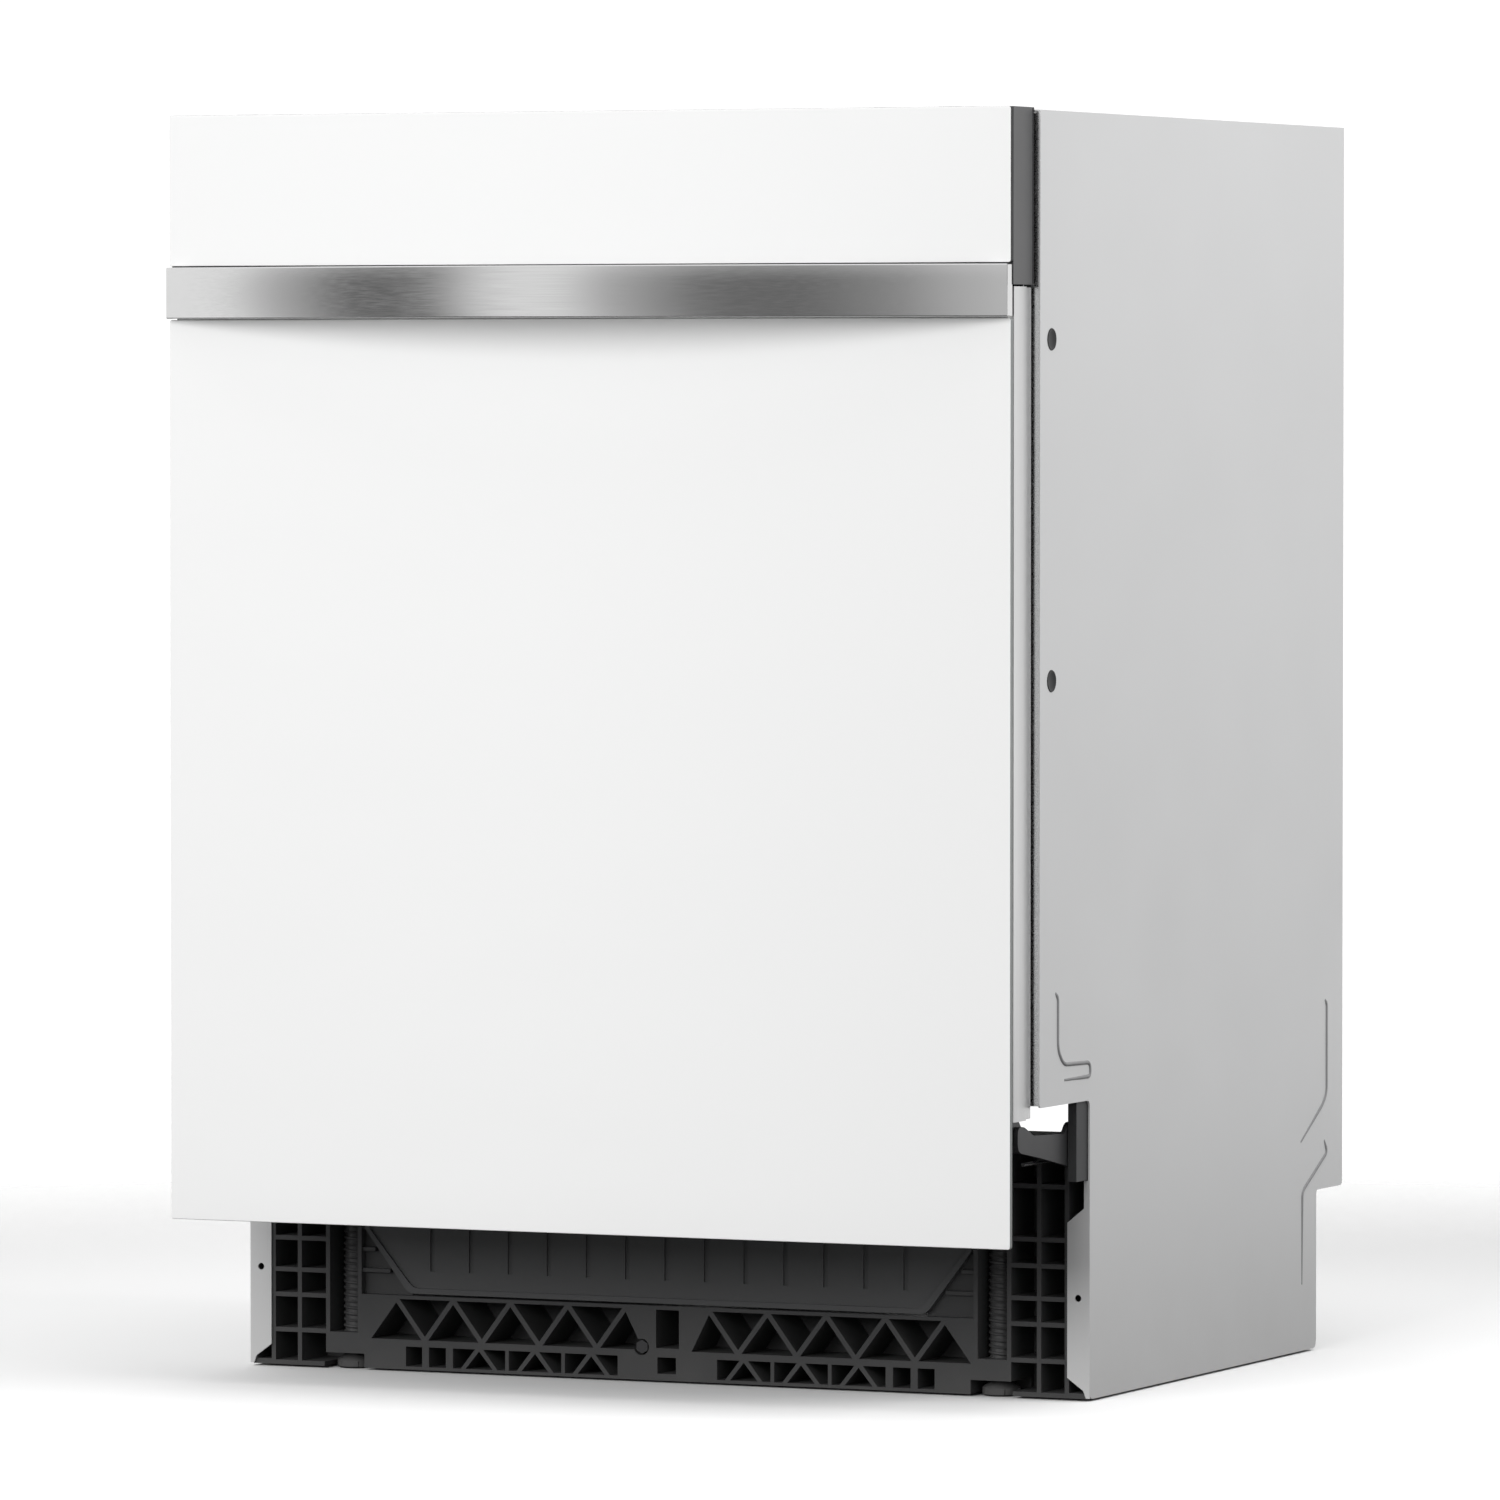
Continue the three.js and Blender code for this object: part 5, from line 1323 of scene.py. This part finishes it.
class DISHWASHER_OT_spray_arms(bpy.types.Operator):
    """Spray arms with crowned blades and rows of jets"""
    bl_idname = "dishwasher.spray_arms"
    bl_label = "Spray arms"

    def execute(self, context):
        self.arm("lower_spray_arm", 0.0166, 0.024, 0.240, 0.010)
        self.arm("upper_spray_arm", 0.0095, 0.018, 0.476, 0.009)
        low, high = (Vector(v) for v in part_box("top_spray_arm"))
        x, y = (low.x + high.x) / 2, (low.y + high.y) / 2
        disc = Shape()
        disc.turned([(0, 0), (0.03, 0.0008), (0.05, 0.0024), (0.0565, 0.0042), (0.058, 0.006),
                     (0.0572, 0.0072), (0.04, 0.0079), (0.0155, 0.0092), (0.014, 0.0104),
                     (0.014, 0.0136), (0.0136, 0.014),
                     (0.0114, 0.014), (0.0114, 0.0062), (0, 0.006)], centre=(x, y, low.z), segments=56)
        smooth_by_angle(disc.piece("top_arm_disc", "arm_plastic", "top_spray_arm", "grey_plastic",
                                   ("top_spray_arm",)), 40)
        places = [((x + r * math.cos(a), y + r * math.sin(a), low.z + 0.0011 + r * 0.03), (0, 0, -1))
                  for r, turn in ((0.024, 0.0), (0.042, 0.5))
                  for a in (turn + 2 * math.pi * k / 6 for k in range(6))]
        repeated("top_arm_jets", self.jet(), places, "pump_plastic", "top_spray_arm", "grey_plastic")
        return {"FINISHED"}

    @staticmethod
    def jet():
        jet = Shape()
        jet.turned([(0.0008, 0.0001), (0.0034, 0.0001), (0.003, 0.001), (0.0018, 0.0013), (0.0012, 0.0008),
                    (0.0008, 0.0001)], segments=14)
        return jet

    def arm(self, node, bore, hub, base, thick):
        low, high = (Vector(v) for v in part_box(node))
        centre = Vector(((low.x + high.x) / 2, (low.y + high.y) / 2, base))
        reach = (high.x - low.x) / 2
        arm = Shape()
        verts, faces = [], []
        stations = 40
        ring = 20
        for i in range(stations + 1):
            x = -reach + 2 * reach * i / stations
            share = abs(x) / reach
            half = 0.0238 - 0.0108 * share
            end = max(0.0, (abs(x) - (reach - 0.012)) / 0.012)
            half *= math.sqrt(max(0.02, 1 - end * end * 0.96))
            height = thick * (1 - 0.16 * share) * (1 - 0.35 * end * end)
            for k in range(ring):
                angle = 2 * math.pi * k / ring
                a, b = math.cos(angle), math.sin(angle)
                a = math.copysign(abs(a) ** 0.62, a)
                b = math.copysign(abs(b) ** 0.5, b)
                verts.append(centre + Vector((x, a * half, thick / 2 + b * height / 2)))
        for i in range(stations):
            for k in range(ring):
                after = (k + 1) % ring
                faces.append((i * ring + k, i * ring + after, (i + 1) * ring + after, (i + 1) * ring + k))
        faces.append(tuple(range(ring)))
        faces.append(tuple(stations * ring + k for k in range(ring)))
        arm.add(verts, faces)
        bottom, top = low.z - base, high.z - base
        arm.turned([(bore, bottom), (hub - 0.0012, bottom), (hub, bottom + 0.0012), (hub, top - 0.0022),
                    (hub - 0.0022, top), (0, top), (0, thick), (bore, thick), (bore, bottom)],
                   centre=centre, segments=48)
        smooth_by_angle(arm.piece(f"{node}_blades", "arm_plastic", node, "grey_plastic", (node,)), 42)
        places = []
        for side in (-1, 1):
            for k in range(7):
                x = side * (hub + 0.016 + (reach - hub - 0.03) * k / 6)
                across = 0.006 * (1 if k % 2 else -1) * (1 - 0.4 * abs(x) / reach)
                height = thick / 2 + thick * (1 - 0.16 * abs(x) / reach) / 2 - 0.0004
                places.append((centre + Vector((x, across, height)), (0.1 * side, 0, 1)))
        repeated(f"{node}_jets", self.jet(), places, "pump_plastic", node, "grey_plastic")


class DISHWASHER_OT_water_path(bpy.types.Operator):
    """Heater ring, feed pipe, and dark discs painted as the shade in the filter perforations"""
    bl_idname = "dishwasher.water_path"
    bl_label = "Heater, feed pipe and filters"

    def execute(self, context):
        centre_x, centre_y = 0.0, 0.029
        ring, z, floor = 0.166, 0.218, 0.2028
        gap = 0.09

        def at(angle, height):
            return (centre_x + ring * math.sin(angle), centre_y + ring * math.cos(angle), height)

        turns = [gap + 0.05 + (2 * math.pi - 2 * gap - 0.1) * i / 90 for i in range(91)]
        path = [at(gap, floor + 0.0004), at(gap, z - 0.006), *[at(a, z) for a in turns],
                at(-gap, z - 0.006), at(-gap, floor + 0.0004)]
        wires("heater_ring", [path], 0.0038, 0.004, "element_steel", "cabinet", "inner_steel",
              ("heating_element",), sides=14)
        clips = Shape()
        for angle in (math.pi / 2, math.pi, 3 * math.pi / 2):
            x, y, _ = at(angle, z)
            along = Vector((math.cos(angle), -math.sin(angle), 0))
            clips.sweep([Vector((x, y, z)) - along * 0.005, Vector((x, y, z)) + along * 0.005],
                        [(a, b - 0.002) for a, b in rounded_rectangle(0.0088, 0.0128, 0.003, 4)])
            clips.turned([(0, 0.2024), (0.0036, 0.2024), (0.003, 0.212), (0, 0.212)],
                         centre=(x, y, 0), segments=14)
        clips.piece("heater_clips", "bright_steel", "cabinet", "inner_steel")

        back, top, bend = 0.270, 0.797, 0.030
        pipe = Shape()
        run = rounded_path([(0, back, 0.203), (0, back, top), (0, centre_y - 0.011, top)], bend, 12)
        pipe.sweep(run, rounded_rectangle(0.0196, 0.0196, 0.0062, 5))
        pipe.turned([(0, 0.7762), (0.0108, 0.7762), (0.0108, 0.789), (0.0125, 0.793), (0.0125, 0.8),
                     (0.009, 0.8065), (0, 0.807)], centre=(0, centre_y, 0), segments=36)
        pipe.turned([(0, 0.2396), (0.0118, 0.2396), (0.012, 0.2402), (0.012, 0.2455), (0.009, 0.2462),
                     (0.009, 0.262), (0, 0.262)], "y", (0, 0, 0.484), 36)
        for height in (0.30, 0.65, 0.72):
            pipe.box((-0.0195, back - 0.0035, height - 0.009), (0.0195, 0.2836, height + 0.009))
        piece = pipe.piece("water_feed_pipe", "arm_plastic", "cabinet", "grey_plastic", ("feed_tube",))
        soften(smooth_by_angle(piece, 40), 0.0005, 1, 60)

        self.painted_hole_shade()
        self.filter_rings()
        return {"FINISHED"}

    @staticmethod
    def painted_hole_shade():
        """Punched holes over the coarse filter plate, shown by dark countersunk rings painted as the shade
        inside each hole.
        """
        low, high = (Vector(v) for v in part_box("coarse_filter_plate"))
        cx, cy = (low.x + high.x) / 2, (low.y + high.y) / 2
        filter_x, filter_y, _ = middle("fine_filter")
        places = []
        pitch = 0.0058
        for row in range(-16, 17):
            for column in range(-16, 17):
                x = cx + (column + 0.5 * (row % 2)) * pitch
                y = cy + row * pitch * 0.866
                clear_rim = math.hypot(x - cx, y - cy) < (high.x - low.x) / 2 - 0.005
                clear_filter = math.hypot(x - filter_x, y - filter_y) > 0.0445
                clear_post = math.hypot(x, y - 0.029) > 0.0215
                if clear_rim and clear_filter and clear_post:
                    places.append(((x, y, high.z), (0, 0, 1)))
        # The holes are near-black discs laid on the plate: painted shade where the open holes would be.
        hole = Shape()
        hole.turned([(0, 0.00004), (0.0016, 0.00004), (0.0018, 0.00012), (0.002, 0.00002)], segments=10)
        repeated("filter_plate_holes", hole, places, "black_plug", "cabinet", "dark_plastic")

    @staticmethod
    def filter_rings():
        """Fine hoops round the cup filter."""
        x, y, _ = middle("fine_filter")
        low = Vector(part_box("fine_filter")[0])
        hoops = []
        for k in range(22):
            z = low.z + 0.006 + 0.004 * k
            radius = 0.026 + 0.007 * (z - low.z) / 0.096 + 0.0003
            angles = [2 * math.pi * i / 36 for i in range(36)]
            hoops.append([(x + radius * math.cos(a), y + radius * math.sin(a), z) for a in angles])
        chains = [[*hoop, hoop[0]] for hoop in hoops]
        wires("filter_hoops", chains, 0.0004, 0.0, "bright_steel", "fine_filter", "grey_plastic", sides=5)


# ---- Base ----

class DISHWASHER_OT_base_details(bpy.types.Operator):
    """Cooling ribs, side webs, terminal screws and the inlet's thread"""
    bl_idname = "dishwasher.base_details"
    bl_label = "Base details"

    def execute(self, context):
        low = Vector(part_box("circulation_pump")[0])
        ribs = Shape()
        centre_y, centre_z = 0.045, 0.122
        for x in spaced(low.x + 0.012, low.x + 0.072, 9):
            ribs.turned([(0.0405, x), (0.0435, x), (0.0435, x + 0.0022), (0.0405, x + 0.0022), (0.0405, x)],
                        "x", (0, centre_y, centre_z), 48)
        smooth_by_angle(ribs.piece("pump_cooling_ribs", "pump_casting", "cabinet", "pump_metal"), 35)
        webs = Shape()
        front, back, low_z, high_z = -0.1379, -0.1371, 0.0495, 0.166
        web_start, web_end, rib_front, rib_thick = 0.186, 0.2222, -0.1425, 0.0028
        for side in (-1, 1):
            near, far = sorted((side * web_start, side * web_end))
            webs.box((near, front, low_z), (far, back, high_z))
            for start, z in ((0.2005, 0.065), (0.2115, 0.079), (0.2195, 0.0935)):
                near, far = sorted((side * start, side * web_end))
                webs.box((near, rib_front, z), (far, front + 0.0002, z + rib_thick))
        soften(webs.piece("base_side_webs", "moulded_base", "cabinet", "base_plastic"), 0.0004, 2, 40)
        box_low, box_high = (Vector(v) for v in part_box("terminal_box"))
        places = [((x, y, box_high.z), (0, 0, 1)) for x in (box_low.x + 0.006, box_high.x - 0.006)
                  for y in (box_low.y + 0.006, box_high.y - 0.006)]
        repeated("base_screws", torx_screw(0.0026, 0.0014), places, "bright_steel", "cabinet", "galvanised")
        valve_back = Vector(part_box("inlet_valve")[1]).y
        thread = coil_mesh(9, 0.0129, 0.030, 0.0009, 28, 5, "dispenser_plastic")
        turned = Matrix.Rotation(math.pi / 2, 4, "X")
        thread.transform(Matrix.Translation((-0.205, valve_back - 0.001, 0.062)) @ turned)
        piece_with("inlet_thread", thread, "dispenser_plastic", "cabinet", "pale_plastic", smooth=True)
        return {"FINISHED"}


# ---- Stage ----

class DISHWASHER_OT_stage(bpy.types.Operator):
    """Pale floor, soft studio light and the camera"""
    bl_idname = "dishwasher.stage"
    bl_label = "Stage"

    def execute(self, context):
        scene = context.scene
        scene.view_settings.view_transform = "Standard"
        self.floor()
        self.world(scene)
        self.lights()
        data = bpy.data.cameras.new("camera")
        data.lens = 250.9
        data.sensor_width = 36.0
        data.clip_end = 100.0
        camera = bpy.data.objects.new("camera", data)
        camera.location = (2.88432, -6.33702, 0.65688)
        camera.rotation_euler = (math.radians(90 - 2.027), 0.0, math.radians(24.4976))
        scene.collection.objects.link(camera)
        scene.camera = camera
        return {"FINISHED"}

    @staticmethod
    def floor():
        """A pale round floor that fades out into the white room."""
        disc = Shape()
        disc.turned([(0, -0.01), (3.2, -0.01), (3.2, 0), (2.4, 0), (1.6, 0), (0.8, 0), (0, 0)], segments=96)
        mesh = mesh_of(disc)
        mesh.name = "studio_floor"
        material = bpy.data.materials.new("studio_floor")
        material.use_nodes = True
        tree = material.node_tree
        shader = tree.nodes["Principled BSDF"]
        shader.inputs["Roughness"].default_value = 0.9
        shader.inputs["Specular IOR Level"].default_value = 0.1
        path = tree.nodes.new("ShaderNodeLightPath")
        paint = tree.nodes.new("ShaderNodeMix")
        paint.data_type = "RGBA"
        tones = [s for s in paint.inputs if s.type == "RGBA"]
        tones[0].default_value = (0.13, 0.13, 0.13, 1.0)
        tones[1].default_value = (0.95, 0.95, 0.95, 1.0)
        link(tree, path.outputs["Is Camera Ray"], paint.inputs["Factor"])
        link(tree, [s for s in paint.outputs if s.type == "RGBA"][0], shader.inputs["Base Color"])
        place = tree.nodes.new("ShaderNodeTexCoord")
        length = tree.nodes.new("ShaderNodeVectorMath")
        length.operation = "LENGTH"
        link(tree, place.outputs["Object"], length.inputs[0])
        fade = tree.nodes.new("ShaderNodeMapRange")
        fade.interpolation_type = "SMOOTHSTEP"
        fade.inputs["From Min"].default_value = 0.55
        fade.inputs["From Max"].default_value = 2.2
        fade.inputs["To Min"].default_value = 1.0
        fade.inputs["To Max"].default_value = 0.0
        link(tree, length.outputs["Value"], fade.inputs["Value"])
        link(tree, fade.outputs[0], shader.inputs["Alpha"])
        mesh.materials.append(material)
        floor = bpy.data.objects.new("studio_floor", mesh)
        bpy.context.scene.collection.objects.link(floor)

    @staticmethod
    def world(scene):
        """A pale room: white to look at, with darker and lighter upright bands for the steel to mirror."""
        world = bpy.data.worlds.new("studio")
        scene.world = world
        world.use_nodes = True
        tree = world.node_tree
        tree.nodes.clear()
        place = tree.nodes.new("ShaderNodeTexCoord")
        parts = tree.nodes.new("ShaderNodeSeparateXYZ")
        link(tree, place.outputs["Generated"], parts.inputs[0])
        azimuth = tree.nodes.new("ShaderNodeMath")
        azimuth.operation = "ARCTAN2"
        link(tree, parts.outputs["X"], azimuth.inputs[0])
        away = tree.nodes.new("ShaderNodeMath")
        away.operation = "MULTIPLY"
        away.inputs[1].default_value = -1.0
        link(tree, parts.outputs["Y"], away.inputs[0])
        link(tree, away.outputs[0], azimuth.inputs[1])
        turn = tree.nodes.new("ShaderNodeMapRange")
        turn.inputs["From Min"].default_value = math.radians(-60)
        turn.inputs["From Max"].default_value = math.radians(12)
        link(tree, azimuth.outputs[0], turn.inputs["Value"])
        bands = tree.nodes.new("ShaderNodeValToRGB")
        ramp = bands.color_ramp
        ramp.interpolation = "EASE"
        stops = [(0.0, 1.0), (0.19, 1.0), (0.24, 0.5), (0.31, 0.14), (0.36, 0.17), (0.43, 0.95), (0.47, 1.0),
                 (0.52, 0.46), (0.6, 0.17), (0.66, 0.16), (0.73, 0.28), (0.79, 0.55), (0.9, 0.95), (1.0, 1.0)]
        ramp.elements[0].position, ramp.elements[0].color = stops[0][0], (*[stops[0][1]] * 3, 1)
        ramp.elements[1].position, ramp.elements[1].color = stops[-1][0], (*[stops[-1][1]] * 3, 1)
        for position, level in stops[1:-1]:
            element = ramp.elements.new(position)
            element.color = (level, level, level, 1)
        link(tree, turn.outputs[0], bands.inputs["Fac"])
        high = tree.nodes.new("ShaderNodeMapRange")
        high.inputs["From Min"].default_value = 0.1
        high.inputs["From Max"].default_value = 0.5
        link(tree, parts.outputs["Z"], high.inputs["Value"])
        room = tree.nodes.new("ShaderNodeMix")
        room.data_type = "RGBA"
        link(tree, high.outputs[0], room.inputs["Factor"])
        colour_in = [s for s in room.inputs if s.type == "RGBA"]
        link(tree, bands.outputs["Color"], colour_in[0])
        colour_in[1].default_value = (1.0, 1.0, 1.0, 1.0)
        seen = tree.nodes.new("ShaderNodeBackground")
        seen.inputs["Color"].default_value = (1.0, 1.0, 1.0, 1.0)
        seen.inputs["Strength"].default_value = 1.1
        lit = tree.nodes.new("ShaderNodeBackground")
        mirrored = tree.nodes.new("ShaderNodeBackground")
        mirrored.inputs["Strength"].default_value = 1.15
        below = tree.nodes.new("ShaderNodeMapRange")
        below.inputs["From Min"].default_value = -0.5
        below.inputs["From Max"].default_value = 0.3
        below.inputs["To Min"].default_value = 0.14
        below.inputs["To Max"].default_value = 0.6
        link(tree, parts.outputs["Z"], below.inputs["Value"])
        link(tree, below.outputs[0], lit.inputs["Strength"])
        for background in (lit, mirrored):
            link(tree, [s for s in room.outputs if s.type == "RGBA"][0], background.inputs["Color"])
        path = tree.nodes.new("ShaderNodeLightPath")
        gloss = tree.nodes.new("ShaderNodeMixShader")
        mixed = tree.nodes.new("ShaderNodeMixShader")
        out = tree.nodes.new("ShaderNodeOutputWorld")
        link(tree, path.outputs["Is Glossy Ray"], gloss.inputs["Fac"])
        link(tree, lit.outputs[0], gloss.inputs[1])
        link(tree, mirrored.outputs[0], gloss.inputs[2])
        link(tree, path.outputs["Is Camera Ray"], mixed.inputs["Fac"])
        link(tree, gloss.outputs[0], mixed.inputs[1])
        link(tree, seen.outputs[0], mixed.inputs[2])
        link(tree, mixed.outputs[0], out.inputs["Surface"])

    @staticmethod
    def lights():
        for name, spot, aim, size, power in (
                ("front_softbox", (-0.8, -4.6, 2.3), (0, -0.2, 0.42), 3.2, 163.0),
                ("side_softbox", (1.7, 0.1, 1.7), (0.3, 0.0, 0.68), 1.0, 18.0),
                ("top_softbox", (0.0, 0.0, 3.4), (0, 0, 0.8), 2.4, 30.0)):
            data = bpy.data.lights.new(name, "AREA")
            data.shape = "SQUARE"
            data.size = size
            data.energy = power
            lamp = bpy.data.objects.new(name, data)
            lamp.location = spot
            lamp.rotation_euler = (Vector(aim) - Vector(spot)).to_track_quat("-Z", "Y").to_euler()
            lamp.visible_glossy = False
            bpy.context.scene.collection.objects.link(lamp)


# ---- Sidebar and registration ----

class DISHWASHER_PT_sidebar(bpy.types.Panel):
    """Every piece of the dishwasher, in the order it is made"""
    bl_label = "Dishwasher"
    bl_idname = "DISHWASHER_PT_sidebar"
    bl_space_type = "VIEW_3D"
    bl_region_type = "UI"
    bl_category = "Dishwasher"

    def draw(self, context):
        for operator in OPERATORS:
            self.layout.operator(operator.bl_idname)
        for group in (sizes(), colours()):
            for label in group.bl_rna.properties.keys():
                if label not in ("rna_type", "name"):
                    self.layout.prop(group, label)


OPERATORS = (
    DISHWASHER_OT_finishes, DISHWASHER_OT_stage, DISHWASHER_OT_handle,
    DISHWASHER_OT_glass_panels, DISHWASHER_OT_door_details, DISHWASHER_OT_gasket,
    DISHWASHER_OT_side_sheets, DISHWASHER_OT_cabinet_screws,
    DISHWASHER_OT_damping_sheets, DISHWASHER_OT_legs, DISHWASHER_OT_door_springs, DISHWASHER_OT_racks,
    DISHWASHER_OT_cutlery_basket, DISHWASHER_OT_rack_wheels, DISHWASHER_OT_spray_arms,
    DISHWASHER_OT_water_path, DISHWASHER_OT_base_details,
)


def register():
    for made in (DishwasherSizes, DishwasherColours, *OPERATORS, DISHWASHER_PT_sidebar):
        bpy.utils.register_class(made)
    bpy.types.Scene.dishwasher_sizes = PointerProperty(type=DishwasherSizes)
    bpy.types.Scene.dishwasher_colours = PointerProperty(type=DishwasherColours)


def unregister():
    del bpy.types.Scene.dishwasher_sizes
    del bpy.types.Scene.dishwasher_colours
    for made in reversed((DishwasherSizes, DishwasherColours, *OPERATORS, DISHWASHER_PT_sidebar)):
        bpy.utils.unregister_class(made)


def main():
    register()
    for operator in OPERATORS:
        group, name = operator.bl_idname.split(".")
        getattr(getattr(bpy.ops, group), name)()


if __name__ == "__main__":
    main()
